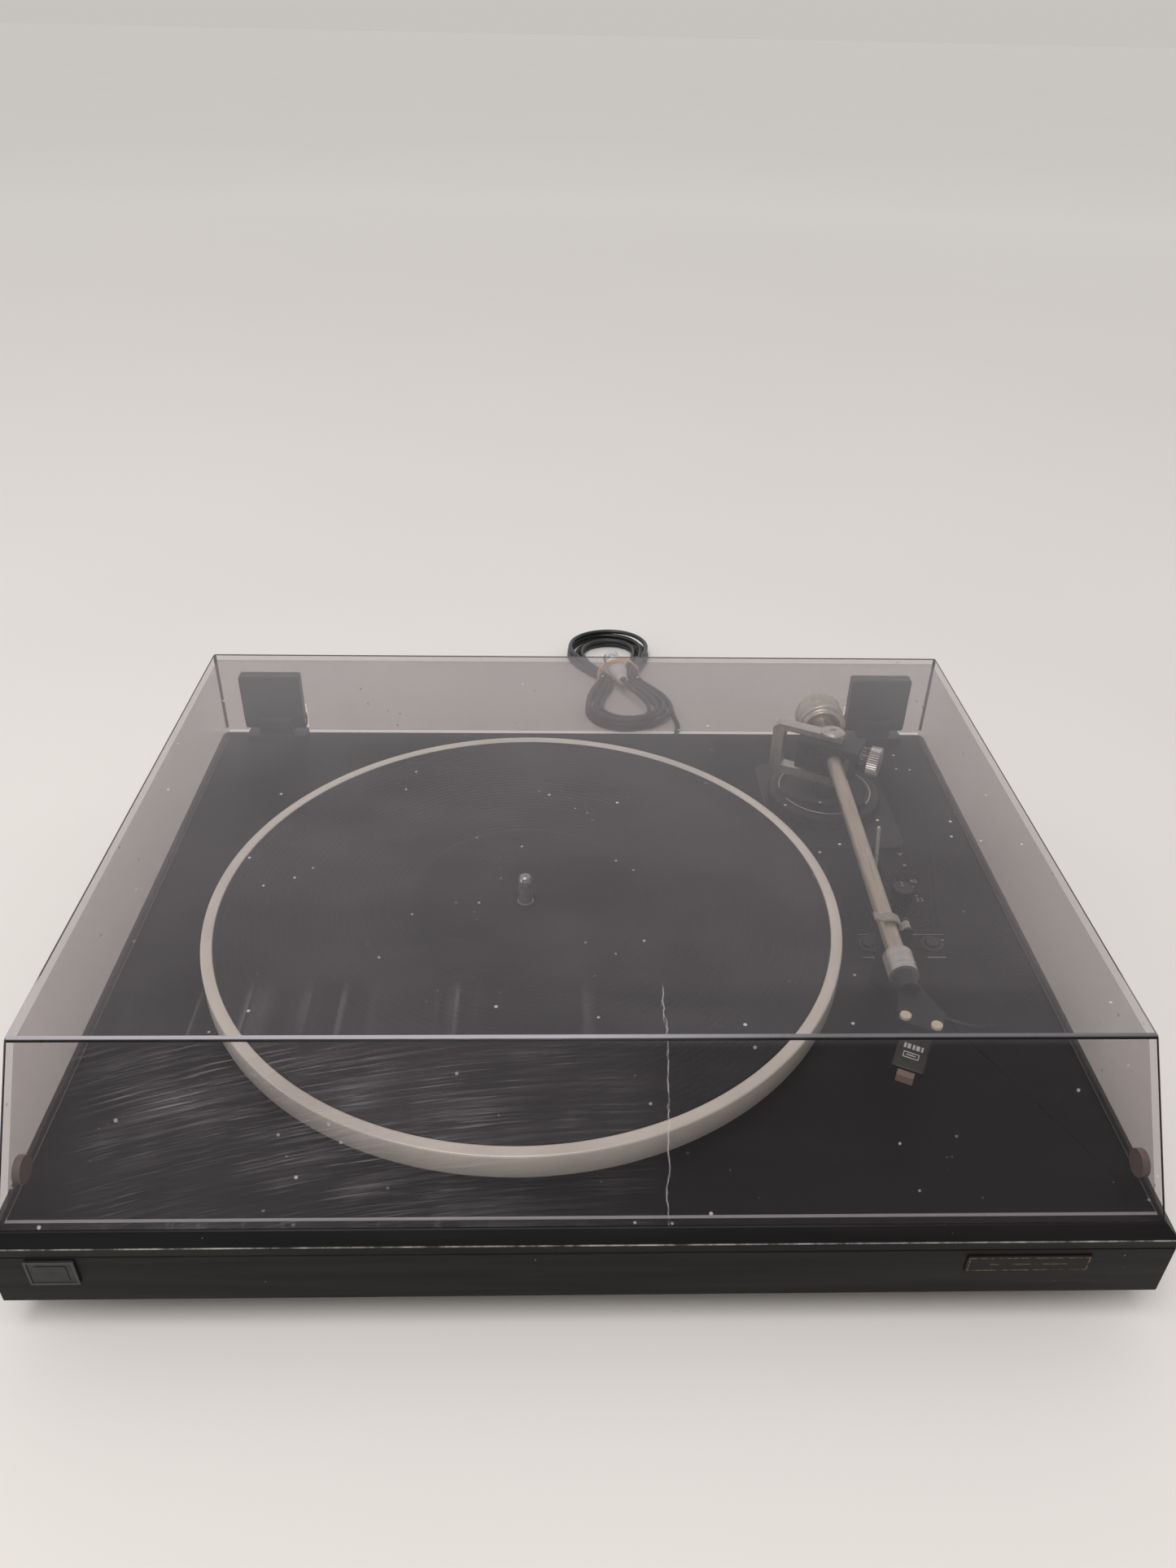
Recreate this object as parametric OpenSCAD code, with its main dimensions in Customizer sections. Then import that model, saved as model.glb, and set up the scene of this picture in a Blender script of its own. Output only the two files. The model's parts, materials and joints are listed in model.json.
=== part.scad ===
// Belt-drive turntable with a hinged clear cover and a gimballed tonearm.
// X right, Y back, Z up; origin on the surface below the middle of the plinth.

/* [Plinth] */
// Width of the plinth
plinth_w = 444; // [430:1:460]
// Depth of the plinth
plinth_d = 364; // [356:1:380]
// Height of the plinth's top face above the surface it stands on
deck_z = 54; // [52:1:60]
// Height of the frame and top board together
plinth_h = 36; // [34:1:38]
// Thickness of the top board
board_t = 9; // [8:0.5:10]
// Thickness of the frame's walls
wall_t = 14; // [10:1:18]
// Bevel round the top board's upper edge
bevel = 4.5; // [2:0.5:6]

/* [Cover] */
// Outside width of the cover
cover_w = 435; // [428:1:438]
// Outside depth of the cover
cover_d = 354; // [348:1:356]
// Height of the cover
cover_h = 54.5; // [54:0.5:60]
// Thickness of the cover's panes
cover_t = 2.8; // [2.4:0.1:3]
// How far the front pane leans back
cover_lean = 42.5; // [30:0.5:50]

/* [Platter] */
// Radius of the platter
platter_r = 152; // [150:0.5:154]
// Height of the platter's rim
rim_h = 12.3; // [11:0.1:12.5]
// Radius of the rubber mat
mat_r = 146.3; // [144:0.1:146.4]
// Radius of the record spindle
spindle_r = 3.55; // [3.5:0.01:3.6]
// Radius of the inner drive disc that the belt runs on
drive_r = 60; // [55:1:65]
// Radius of the motor pulley
pulley_r = 5.33; // [5:0.01:6]

/* [Tonearm] */
// Height of the arm tube above the top board
arm_h = 34; // [34:0.5:35]
// Radius of the arm tube
tube_r = 4; // [3.5:0.1:4.2]
// Distance from the pivot to the front end of the tube
tube_len = 176; // [172:1:180]
// Angle by which the head is turned in from the tube
offset_deg = 25; // [20:1:28]
// Radius of the counterweight
weight_r = 13.5; // [12:0.5:14]
// Outer radius of the side-force ring
ring_r = 32; // [30:0.5:33]

/* [Hidden] */
$fn = 64;
fine = 128;        // sides of the largest rounds
gap = 0.3;         // between parts that move past each other
fit_gap = 0.05;    // radial clearance of a shaft in its bore

// heights of the flat layers inside
base_t = 3;
foot_h = deck_z - plinth_h - base_t;
base_z = foot_h;
foot_x = 180;
foot_y = 140;
frame_z = base_z + base_t;
board_z = deck_z - board_t;
chassis_z = 33;
chassis_t = 2;
spring_xy = [for (x = [-150, 112]) for (y = [-112, 122]) [x, y]];

// places on the top board, as [x, y]
spindle_xy = [-27.5, -7];
pivot_xy = [141, 103];
motor_xy = [-101.5, 81];
knob_xy = [164.2, 13];
lever_xy = [158.4, 38.7];
start_xy = [139.8, -21];
stop_xy = [171, -21];
arm_yaw = -1.4;    // the resting arm points a little inwards
gimbal_yaw = -27;  // the tilting axis is square to the head
arm_z = deck_z + arm_h;

// cover
hinge_y = 172;
hinge_z = deck_z + 12;
hinge_x = 184.5;
hinge_w = 36;
knuckle_r = 5;
knuckle_w = 20;
pin_r = 2;
ear_w = (hinge_w - knuckle_w) / 2 - gap;
back_lift = 3.6;   // the back edge stands clear of the board
lean_deg = atan2(cover_h, cover_lean);

// platter
rim_z = deck_z + 4.5;
rim_top = rim_z + rim_h;
mat_drop = 2.5;
mat_t = 2.8;
disc_t = 5;        // platter's web, mat seat included
rim_t = 5.5;
drive_z = deck_z + 4;
drive_top = rim_top - disc_t;
belt_h = 3.5;
belt_t = 0.8;
belt_z = drive_top - belt_h - 1;
bearing_r = 9;
shaft_r = 4;
bearing_z = 24;

// motor
motor_r = 24;
motor_z = 20;
motor_h = 20;
motor_shaft_r = 1.5;

// tonearm, from the pivot in the arm's own frame
block_r = 5.5;
block_l = 12;
collar_y = -183;
collar_l = 13;
collar_r = 6.5;
head_at = [0.5, -210.5];
screw_pitch = 12.7;
weight_y = 24;
weight_l = 20;
cheek_in = 13;
cheek_out = 17;
yoke_depth = 18;
yoke_bottom = -10;
yoke_top = 7.5;
bracket_bar = 6.5;
bracket_depth = 7;
bracket_left = -33;
bracket_right = 6.5;
bracket_low = 14;
bracket_high = 45.5;
ring_in = 23;
ring_z = 1.8;
ring_h = 7.2;
ring_ribs = 66;
dial_r = 8.5;
dial_u = 22.3;
dial_l = 5.7;
dial_ribs = 40;
rest_y = -150;
rest_x = 8.6;
clip_in = 5;
clip_out = 6.2;
clip_w = 5;
lift_r = 38;
lift_deg = -78;
lift_drop = 5;       // the resting bar is this far below the raised one
lever_lean = 18;
lever_z = deck_z - 14;

// signal lead: straight out of the plinth, down to the surface and back to the hank
lead_r = 1.7;
lead_pts = [
    [62, 186, 31], [62, 194, 31], [62, 203, 29.5], [62, 211, 25], [62, 217, 18],
    [62, 222, 10], [62.2, 228, 4.5], [63.4, 236, 2], [66, 245, 1.8], [69.8, 254, 1.8],
    [73.2, 263, 1.9], [75.4, 274, 2.3], [74.1, 286, 2.3], [72.4, 298, 2.3]
];
lead_sides = 8;
hank_z = 0.6;
hank_h = 10.4;       // three layers of turns
hank_quarter = [     // middle line of the outer turn, from its far end to its waist
    [0, 73.2], [15, 70], [26, 61], [31, 48], [29.5, 36], [24, 23], [16, 10], [12.9, 0]
];
hank_at = [35, 342];
hank_yaw = 8;
plug_l = 38;
plug_r = 6.8;
plug_z = 13;         // it lies between the strands of the waist
plug_at = [0, -19];   // its cord end, from the middle of the hank

// ---------- shared shapes ----------

// Rounded rectangle, centred
module rounded(w, d, r) {
    square([w - 2 * r, d], center = true);
    square([w, d - 2 * r], center = true);
    for (sx = [-1, 1])
        for (sy = [-1, 1])
            translate([sx * (w / 2 - r), sy * (d / 2 - r)])
                circle(r);
}

// Disc with straight ribs round its edge
module ribbed(r, depth, count) {
    polygon([
        for (i = [0 : 2 * count - 1])
            let (a = 180 * i / count, q = i % 2 == 0 ? r : r - depth)
            [q * cos(a), q * sin(a)]
    ]);
}

// Tube between two heights
module pipe(r_out, r_in, z0, z1) {
    translate([0, 0, z0])
        difference() {
            cylinder(r = r_out, h = z1 - z0);
            translate([0, 0, -1])
                cylinder(r = r_in, h = z1 - z0 + 2);
        }
}

module rod(r, z0, z1) {
    translate([0, 0, z0])
        cylinder(r = r, h = z1 - z0);
}

// Cylinder along X from x0 to x1
module rod_x(r, x0, x1) {
    translate([x0, 0, 0])
        rotate([0, 90, 0])
            cylinder(r = r, h = x1 - x0);
}

// Cylinder along Y from y0 to y1
module rod_y(r, y0, y1) {
    translate([0, y1, 0])
        rotate([90, 0, 0])
            cylinder(r = r, h = y1 - y0);
}

// Outline in Y and Z drawn out along X, centred
module along_x(w) {
    translate([-w / 2, 0, 0])
        rotate([90, 0, 90])
            linear_extrude(w)
                children();
}

// Outline in X and Z drawn out along Y, centred
module along_y(d) {
    translate([0, d / 2, 0])
        rotate([90, 0, 0])
            linear_extrude(d)
                children();
}

module at(xy, z = 0) {
    translate([xy[0], xy[1], z])
        children();
}

// Frames: the arm at its pivot, the gimbal at its pivot and the head
module arm_frame() {
    at(pivot_xy, arm_z)
        rotate(arm_yaw)
            children();
}

module gimbal_frame() {
    at(pivot_xy, arm_z)
        rotate(gimbal_yaw)
            children();
}

module head_frame() {
    arm_frame()
        at(head_at)
            rotate(-offset_deg)
                children();
}

// Tube swept along a list of points
function unit(v) = v / norm(v);
function heading(p, i) = unit(p[min(i + 1, len(p) - 1)] - p[max(i - 1, 0)]);
function side_of(t) = unit(cross(abs(t[2]) > 0.95 ? [0, 1, 0] : [0, 0, 1], t));

module swept(p, r, sides) {
    n = len(p);
    points = [
        for (i = [0 : n - 1])
            let (t = heading(p, i), a = side_of(t), b = cross(t, a))
            for (k = [0 : sides - 1])
                p[i] + r * (cos(360 * k / sides) * a + sin(360 * k / sides) * b)
    ];
    walls = [
        for (i = [0 : n - 2])
            for (k = [0 : sides - 1])
                let (m = (k + 1) % sides)
                [i * sides + k, (i + 1) * sides + k, (i + 1) * sides + m, i * sides + m]
    ];
    first = [for (k = [0 : sides - 1]) k];
    last = [for (k = [sides - 1 : -1 : 0]) (n - 1) * sides + k];
    polyhedron(points, concat(walls, [first, last]));
}

// ---------- plinth ----------

// Side profile of the whole plinth with its bevelled upper edge
module plinth_profile(w) {
    polygon([
        [-w / 2, frame_z], [w / 2, frame_z], [w / 2, deck_z - bevel],
        [w / 2 - bevel, deck_z], [-w / 2 + bevel, deck_z], [-w / 2, deck_z - bevel]
    ]);
}

module plinth_block() {
    intersection() {
        along_x(plinth_w)
            plinth_profile(plinth_d);
        along_y(plinth_d)
            plinth_profile(plinth_w);
    }
}

module layer(z0, z1) {
    translate([-plinth_w, -plinth_d, z0])
        cube([2 * plinth_w, 2 * plinth_d, z1 - z0]);
}

module plinth_frame() {
    inlet_r = 6;
    color("#1c1a1b")
        difference() {
            intersection() {
                plinth_block();
                layer(frame_z, board_z);
            }
            translate([wall_t - plinth_w / 2, wall_t - plinth_d / 2, frame_z - 1])
                cube([plinth_w - 2 * wall_t, plinth_d - 2 * wall_t, board_z]);
            for (x = [lead_pts[0][0], -lead_pts[0][0]])
                translate([x, 0, lead_pts[0][2]])
                    rod_y(inlet_r, plinth_d / 2 - wall_t - 1, plinth_d / 2 + 1);
        }
}

module top_board() {
    bearing_hole = 12;
    pulley_hole = 10;
    pillar_hole = 15;
    color("#201e1f")
        difference() {
            intersection() {
                plinth_block();
                layer(board_z, deck_z + 1);
            }
            at(spindle_xy)
                rod(bearing_hole, board_z - 1, deck_z + 1);
            at(motor_xy)
                rod(pulley_hole, board_z - 1, deck_z + 1);
            at(pivot_xy)
                rod(pillar_hole, board_z - 1, deck_z + 1);
            at(knob_xy)
                rod(2.6, board_z - 1, deck_z + 1);
            for (b = [start_xy, stop_xy])
                at(b)
                    rod(3 + gap, board_z - 1, deck_z + 1);
            at(lever_xy)
                translate([-2.2, -8, board_z - 1])
                    cube([4.4, 16, board_t + 2]);
        }
}

module base_board() {
    color("#4a3a2c")
        translate([0, 0, base_z])
            linear_extrude(base_t)
                rounded(plinth_w - 10, plinth_d - 10, 6);
}

module feet() {
    color("#161616")
        for (sx = [-1, 1])
            for (sy = [-1, 1])
                translate([sx * foot_x, sy * foot_y, 0])
                    rotate_extrude()
                        polygon([
                            [0, 0], [16, 0], [18, 2], [20, foot_h - 2], [20, foot_h],
                            [0, foot_h]
                        ]);
}

module base_screws() {
    edge_x = plinth_w / 2 - 12;
    edge_y = plinth_d / 2 - 12;
    color("#8f8d88")
        for (x = [-edge_x, 0, edge_x])
            for (y = [-edge_y, edge_y])
                translate([x, y, base_z - 1.6])
                    difference() {
                        cylinder(r1 = 2.4, r2 = 3.6, h = 1.6);
                        translate([-3, -0.4, -1])
                            cube([6, 0.8, 1.8]);
                    }
}

// ---------- chassis, bearing and drive ----------

module sub_chassis() {
    color("#77777a")
        difference() {
            translate([-20, 5, chassis_z])
                linear_extrude(chassis_t)
                    rounded(350, 284, 14);
            at(spindle_xy)
                rod(bearing_r, chassis_z - 1, chassis_z + chassis_t + 1);
            at(motor_xy)
                rod(motor_r + 6, chassis_z - 1, chassis_z + chassis_t + 1);
            at([150, 4])
                translate([-34, -48, chassis_z - 1])
                    cube([68, 96, chassis_t + 2]);
        }
}

module suspension_springs() {
    coils = 4;
    spring_r = 8;
    wire_r = 0.9;
    pitch = (chassis_z - frame_z - 2 * wire_r) / coils;
    steps = 14;
    turn = [
        for (i = [0 : coils * steps])
            [
                spring_r * cos(360 * i / steps), spring_r * sin(360 * i / steps),
                frame_z + wire_r + pitch * i / steps
            ]
    ];
    color("#9a9a98")
        for (p = spring_xy)
            at(p)
                swept(turn, wire_r, 6);
}

module bearing_housing() {
    color("#b3a06a")
        at(spindle_xy)
            difference() {
                union() {
                    rod(bearing_r, bearing_z, drive_z - 1);
                    rod(20, chassis_z + chassis_t, chassis_z + chassis_t + 3);
                }
                rod(shaft_r + fit_gap, bearing_z + 3, drive_z + 1);
            }
}

module thrust_ball() {
    color("#d8d8d8")
        at(spindle_xy, bearing_z + 5)
            sphere(r = 2);
}

// Bearing shaft, a relief groove at the mat and the record spindle above it
module spindle() {
    neck_r = 3.2;
    neck_z = rim_top - mat_drop + mat_t - 0.8;
    neck_h = 1;
    color("#c9c9c6")
        at(spindle_xy)
            rotate_extrude()
                polygon([
                    [0, bearing_z + 7.2], [shaft_r, bearing_z + 7.2],
                    [shaft_r, neck_z], [neck_r, neck_z], [neck_r, neck_z + neck_h],
                    [spindle_r, neck_z + neck_h], [spindle_r, deck_z + 29],
                    [2.6, deck_z + 31], [1.2, deck_z + 31.8], [0, deck_z + 32]
                ]);
}

module drive_disc() {
    hub_r = 14;
    web_t = 2.5;
    color("#2b2b2d")
        at(spindle_xy)
            difference() {
                rod(drive_r, drive_z, drive_top);
                translate([0, 0, drive_z - 1])
                    difference() {
                        cylinder(r = drive_r - 4, h = drive_top - drive_z - web_t + 1);
                        cylinder(r = hub_r, h = 20);
                    }
                rod(shaft_r, drive_z - 1, drive_top + 1);
            }
}

module platter() {
    color("#b9b6b0")
        at(spindle_xy)
            rotate_extrude($fn = fine)
                polygon([
                    [shaft_r, drive_top], [platter_r - rim_t, drive_top],
                    [platter_r - rim_t, rim_z], [platter_r - 0.6, rim_z],
                    [platter_r, rim_z + 0.6], [platter_r, rim_top - 0.6],
                    [platter_r - 0.6, rim_top], [platter_r - rim_t, rim_top],
                    [platter_r - rim_t, rim_top - mat_drop], [shaft_r, rim_top - mat_drop]
                ]);
}

module platter_mat() {
    label_r = 52;
    mat_z = rim_top - mat_drop;
    color("#232224")
        at(spindle_xy)
            rotate_extrude($fn = fine)
                polygon([
                    [shaft_r + gap, mat_z], [mat_r, mat_z], [mat_r, mat_z + mat_t],
                    [label_r + 0.5, mat_z + mat_t], [label_r, mat_z + mat_t - 0.5],
                    [shaft_r + gap, mat_z + mat_t - 0.5]
                ]);
}

// Belt: two straight runs and an arc round each wheel
module belt_outline(extra) {
    reach = norm(motor_xy - spindle_xy);
    big = drive_r + gap + extra;
    small = pulley_r + gap + extra;
    lean = asin((big - small) / reach);
    toward = atan2(motor_xy[1] - spindle_xy[1], motor_xy[0] - spindle_xy[0]);
    at(spindle_xy)
        rotate(toward)
            polygon(concat(
                [
                    for (i = [0 : 72])
                        let (a = 90 - lean + (180 + 2 * lean) * i / 72)
                        big * [cos(a), sin(a)]
                ],
                [
                    for (i = [0 : 16])
                        let (a = lean - 90 + (180 - 2 * lean) * i / 16)
                        [reach, 0] + small * [cos(a), sin(a)]
                ]
            ));
}

module drive_belt() {
    color("#151515")
        translate([0, 0, belt_z])
            linear_extrude(belt_h)
                difference() {
                    belt_outline(belt_t);
                    belt_outline(0);
                }
}

module motor_body() {
    color("#8a8b8d")
        at(motor_xy)
            difference() {
                rod(motor_r, motor_z, motor_z + motor_h);
                rod(motor_shaft_r + fit_gap, motor_z + 4, motor_z + motor_h + 1);
            }
}

module motor_bracket() {
    color("#a2a19c")
        at(motor_xy)
            difference() {
                translate([0, 0, motor_z + motor_h])
                    linear_extrude(1.6)
                        rounded(78, 54, 6);
                rod(7, motor_z, board_z);
            }
}

module motor_grommets() {
    color("#1a1a1a")
        at(motor_xy)
            for (x = [-32, 32])
                for (y = [-20, 20])
                    translate([x, y, 0])
                        rod(4.5, motor_z + motor_h + 1.6, board_z);
}

module motor_shaft() {
    color("#cfcfcf")
        at(motor_xy)
            rod(motor_shaft_r, motor_z + 5, drive_top - 0.8);
}

module motor_pulley() {
    color("#b99a4e")
        at(motor_xy)
            rotate_extrude()
                polygon([
                    [motor_shaft_r, belt_z - 4], [pulley_r + 2, belt_z - 4],
                    [pulley_r + 2, belt_z - 0.6], [pulley_r, belt_z - 0.3],
                    [pulley_r, belt_z + belt_h + 0.3], [motor_shaft_r, belt_z + belt_h + 0.3]
                ]);
}

module circuit_board() {
    color("#3d5a34")
        translate([154, -10, frame_z + 6])
            difference() {
                translate([-28, -40, 0])
                    cube([56, 80, 1.6]);
                for (x = [-24, 24])
                    for (y = [-36, 36])
                        translate([x, y, -1])
                            cylinder(r = 1.6, h = 4);
            }
}

// One rotary switch under the knob and a small switch under each button
module control_switches() {
    switch_z = frame_z + 7.6;
    color("#2f2f33") {
        at(knob_xy)
            pipe(7, 2 + fit_gap, switch_z, board_z - 4);
        for (b = [start_xy, stop_xy])
            at(b, switch_z)
                translate([-3.5, -3.5, 0])
                    cube([7, 7, board_z - 5.5 - switch_z]);
    }
}

module mains_inlet() {
    color("#1b1b1b")
        translate([-lead_pts[0][0], 0, lead_pts[0][2]])
            difference() {
                union() {
                    rod_y(6 - fit_gap, plinth_d / 2 - wall_t - 4, plinth_d / 2);
                    rod_y(8, plinth_d / 2, plinth_d / 2 + 2);
                }
                rod_y(3, plinth_d / 2 - wall_t - 5, plinth_d / 2 + 3);
            }
}

module lead_gland() {
    color("#1b1b1b")
        translate([lead_pts[0][0], 0, lead_pts[0][2]])
            difference() {
                union() {
                    rod_y(6 - fit_gap, plinth_d / 2 - wall_t - 4, plinth_d / 2);
                    rod_y(8, plinth_d / 2, plinth_d / 2 + 2);
                    rod_y(3.4, plinth_d / 2 + 2, lead_pts[0][1]);
                }
                rod_y(lead_r, plinth_d / 2 - wall_t - 5, lead_pts[0][1] - 0.5);
            }
}

// ---------- front marks ----------

module front_plate(x, z, w, h, t, r) {
    translate([x, -plinth_d / 2, z])
        rotate([90, 0, 0])
            linear_extrude(t)
                rounded(w, h, r);
}

module badge() {
    color("#3c3b3d")
        front_plate(-199, 36.5, 18.5, 13.6, 0.8, 1);
}

module nameplate() {
    color("#2a2622")
        front_plate(167, 36.8, 48, 9.6, 0.6, 1);
}

// ---------- cover and hinges ----------

module cover_outline(t) {
    run = t / sin(lean_deg);
    top = cover_h - t;
    low = t > 0 ? -1 : 0;
    half = cover_d / 2;
    polygon([
        [run - half + low / tan(lean_deg), low],
        [half - t, low],
        [half - t, top],
        [run - half + top / tan(lean_deg), top]
    ]);
}

module dust_cover() {
    notch_w = hinge_w + 1.6;
    notch_h = 22;
    half = cover_d / 2;
    color("#6b6468", 0.35)
        translate([0, 0, deck_z + gap])
            difference() {
                along_x(cover_w)
                    cover_outline(0);
                along_x(cover_w - 2 * cover_t)
                    cover_outline(cover_t);
                translate([-cover_w, hinge_y - 1, -1])
                    cube([2 * cover_w, 20, back_lift + 1 - gap]);
                for (sx = [-1, 1])
                    translate([sx * hinge_x - notch_w / 2, half - 2 * cover_t, -1])
                        cube([notch_w, 3 * cover_t, notch_h + 1]);
            }
}

// Leaf on the back pane, with two ears that reach down to the pin
module hinge_leaves() {
    leaf_front = hinge_y - 5;
    leaf_back = cover_d / 2 - cover_t;
    seam_z = deck_z + 18;
    color("#222224")
        for (sx = [-1, 1])
            translate([sx * hinge_x, 0, 0])
                difference() {
                    union() {
                        translate([-hinge_w / 2, leaf_front, seam_z])
                            cube([hinge_w, leaf_back - leaf_front, 26]);
                        for (e = [-1, 1])
                            translate([e * (hinge_w - ear_w) / 2, hinge_y, hinge_z]) {
                                rod_x(knuckle_r, -ear_w / 2, ear_w / 2);
                                translate([-ear_w / 2, -knuckle_r, 0])
                                    cube([ear_w, leaf_back - leaf_front, 8]);
                            }
                    }
                    translate([0, hinge_y, hinge_z])
                        rod_x(pin_r + fit_gap, -hinge_w, hinge_w);
                }
}

module hinge_bases() {
    plate_h = 4;
    color("#1d1d1f")
        for (sx = [-1, 1])
            translate([sx * hinge_x, 0, 0])
                difference() {
                    union() {
                        translate([-hinge_w / 2, hinge_y - 6, deck_z])
                            cube([hinge_w, 11, plate_h]);
                        translate([0, hinge_y, hinge_z])
                            rod_x(knuckle_r, -knuckle_w / 2, knuckle_w / 2);
                        translate([-knuckle_w / 2, hinge_y - knuckle_r, deck_z])
                            cube([knuckle_w, 2 * knuckle_r, hinge_z - deck_z]);
                    }
                    translate([0, hinge_y, hinge_z])
                        rod_x(pin_r, -hinge_w, hinge_w);
                }
}

module hinge_pins() {
    color("#a8a8a6")
        for (sx = [-1, 1])
            translate([sx * hinge_x, hinge_y, hinge_z])
                rod_x(pin_r, 0.5 - hinge_w / 2, hinge_w / 2 - 0.5);
}

// Two soft buffers on the side panes, near the front
module cover_bumpers() {
    buffer_r = 5.5;
    inner = cover_w / 2 - cover_t;
    color("#7a5a48")
        for (sx = [-1, 1])
            translate([sx * (inner - 1.5), -157, deck_z + 9])
                rod_x(buffer_r, -1.5, 1.5);
}

// ---------- tonearm base ----------

module arm_base_plate() {
    plate_w = 72;
    plate_d = 84;
    color("#1a1a1b")
        difference() {
            at(pivot_xy, deck_z)
                translate([1, -5, 0])
                    linear_extrude(1.5)
                        rounded(plate_w, plate_d, 8);
            at(pivot_xy)
                rod(14, deck_z - 1, deck_z + 3);
        }
}

module arm_pillar() {
    flange_r = ring_in - gap;
    color("#29292b")
        at(pivot_xy)
            difference() {
                union() {
                    rod(12, chassis_z + chassis_t, deck_z + 8);
                    rod(flange_r, deck_z + 1.5, deck_z + 8);
                    rod(8, deck_z + 8, deck_z + bracket_low);
                }
                rod(3, chassis_z, deck_z + 10);
            }
}

// C-shaped bracket that holds the upright axis at both ends
module gimbal_bracket() {
    color("#b4b2ad")
        translate([0, 0, deck_z - arm_z])
            gimbal_frame()
                difference() {
                    along_y(bracket_depth)
                        difference() {
                            polygon([
                                [bracket_left, bracket_low + 3], [bracket_left + 3, bracket_low],
                                [bracket_right, bracket_low], [bracket_right, bracket_high],
                                [bracket_left + 3, bracket_high], [bracket_left, bracket_high - 3]
                            ]);
                            translate([bracket_left + bracket_bar, bracket_low + 5])
                                square([60, bracket_high - bracket_low - 8.5]);
                        }
                    rod(1.5 + fit_gap, bracket_low + 1.5, bracket_low + 6);
                    rod(2.5, bracket_high - 5, bracket_high + 1);
                }
}

module pivot_nut() {
    tip_z = bracket_high - 5.2;
    color("#c4c2bd")
        at(pivot_xy, deck_z)
            rotate_extrude()
                polygon([
                    [0, tip_z], [1.5, tip_z], [1.5, bracket_high - 3.4],
                    [2.4, bracket_high - 3.4], [2.4, bracket_high], [6.5, bracket_high],
                    [6.5, bracket_high + 1.2], [4.5, bracket_high + 2.4],
                    [1.6, bracket_high + 2.4], [1.6, bracket_high + 1.4],
                    [0, bracket_high + 1.4]
                ]);
}

// Frame that swings about the upright axis and carries the force scale
module gimbal_yoke() {
    pin_in = 6.5;
    pin = 1.2;
    boss_low = bracket_low + 5 + gap - arm_h;
    color("#1e1e20")
        gimbal_frame()
            difference() {
                union() {
                    translate([-cheek_out, -yoke_depth / 2, yoke_bottom])
                        cube([2 * cheek_out, yoke_depth, yoke_top - yoke_bottom]);
                    rod(4, boss_low, yoke_bottom);
                    rod(1.5, boss_low - 3.4, boss_low);
                    rod_x(7, cheek_out, dial_u - gap);
                }
                difference() {
                    translate([-cheek_in, -yoke_depth, yoke_bottom + 2])
                        cube([2 * cheek_in, 2 * yoke_depth, yoke_top - yoke_bottom - 3.5]);
                    rod_x(pin, -cheek_out, -pin_in);
                    rod_x(pin, pin_in, cheek_out);
                }
                rod(1.5 + fit_gap, yoke_top - 2, yoke_top + 1);
                rod_x(2 + fit_gap, cheek_out + 0.5, dial_u + 1);
            }
}

module force_dial() {
    color("#c7c5c0")
        gimbal_frame() {
            translate([dial_u, 0, 0])
                rotate([0, 90, 0])
                    linear_extrude(dial_l)
                        ribbed(dial_r, 0.5, dial_ribs);
            rod_x(2, cheek_out + 1, dial_u);
        }
}

module side_force_ring() {
    color("#262527")
        at(pivot_xy, deck_z + ring_z)
            linear_extrude(ring_h)
                difference() {
                    ribbed(ring_r, 0.9, ring_ribs);
                    circle(ring_in);
                }
}

// ---------- tonearm ----------

module bearing_block() {
    boss_u = 9.5;
    color("#2a2a2c")
        difference() {
            union() {
                arm_frame()
                    rod_y(block_r, -block_l, block_l);
                gimbal_frame()
                    rod_x(4, -boss_u, boss_u);
            }
            gimbal_frame()
                for (sx = [0, 180])
                    rotate(sx)
                        rod_x(1.2 + fit_gap, 6, boss_u + 1);
        }
}

module arm_tube() {
    bore = tube_r - 0.7;
    color("#b5b1a8")
        arm_frame()
            difference() {
                rod_y(tube_r, -tube_len, -block_l);
                rod_y(bore, -tube_len - 1, -block_l - 3);
            }
}

module head_collar() {
    color("#c2beb4")
        arm_frame()
            difference() {
                rod_y(collar_r, collar_y, collar_y + collar_l);
                rod_y(tube_r, collar_y + 6, collar_y + collar_l + 1);
            }
}

module headshell() {
    plate_t = 3;
    top = 1;
    color("#1c1c1d")
        difference() {
            union() {
                arm_frame()
                    rod_y(4.8, collar_y - 9, collar_y);
                hull() {
                    arm_frame()
                        translate([0, collar_y - 7, top - plate_t])
                            cylinder(r = 4.8, h = plate_t, $fn = 32);
                    head_frame()
                        translate([-8.5, -3, top - plate_t])
                            cube([17, 12, plate_t]);
                }
            }
            head_frame()
                for (x = [-1, 1])
                    translate([x * screw_pitch / 2, 0, 0])
                        rod(1.4, top - plate_t - 1, top + 1);
        }
}

module head_screws() {
    color("#cdc6ae")
        head_frame()
            for (x = [-1, 1])
                translate([x * screw_pitch / 2, 0, 0]) {
                    rod(2.3, 1, 2.3);
                    rod(1.3, -2, 1);
                }
}

module finger_lift() {
    color("#8e8a80")
        head_frame()
            translate([0, 7.5, 0])
                rod_x(0.9, 8.5, 26);
}

module cartridge() {
    half_w = 6.4;
    color("#19191b")
        head_frame()
            along_x(2 * half_w)
                polygon([
                    [9, -2], [-5, -2], [-8, -2.6], [-20, -7.2], [-20, -10.4], [9, -10.4]
                ]);
}

module stylus() {
    color("#b08f86", 0.8)
        head_frame() {
            translate([-3.4, -23.5, -11.6])
                cube([6.8, 13, 1.2]);
            translate([-3.4, -23.5, -11.6])
                cube([6.8, 3.2, 3.6]);
            translate([0, -13, 0])
                rod(0.5, -12.5, -11.6);
        }
}

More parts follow.
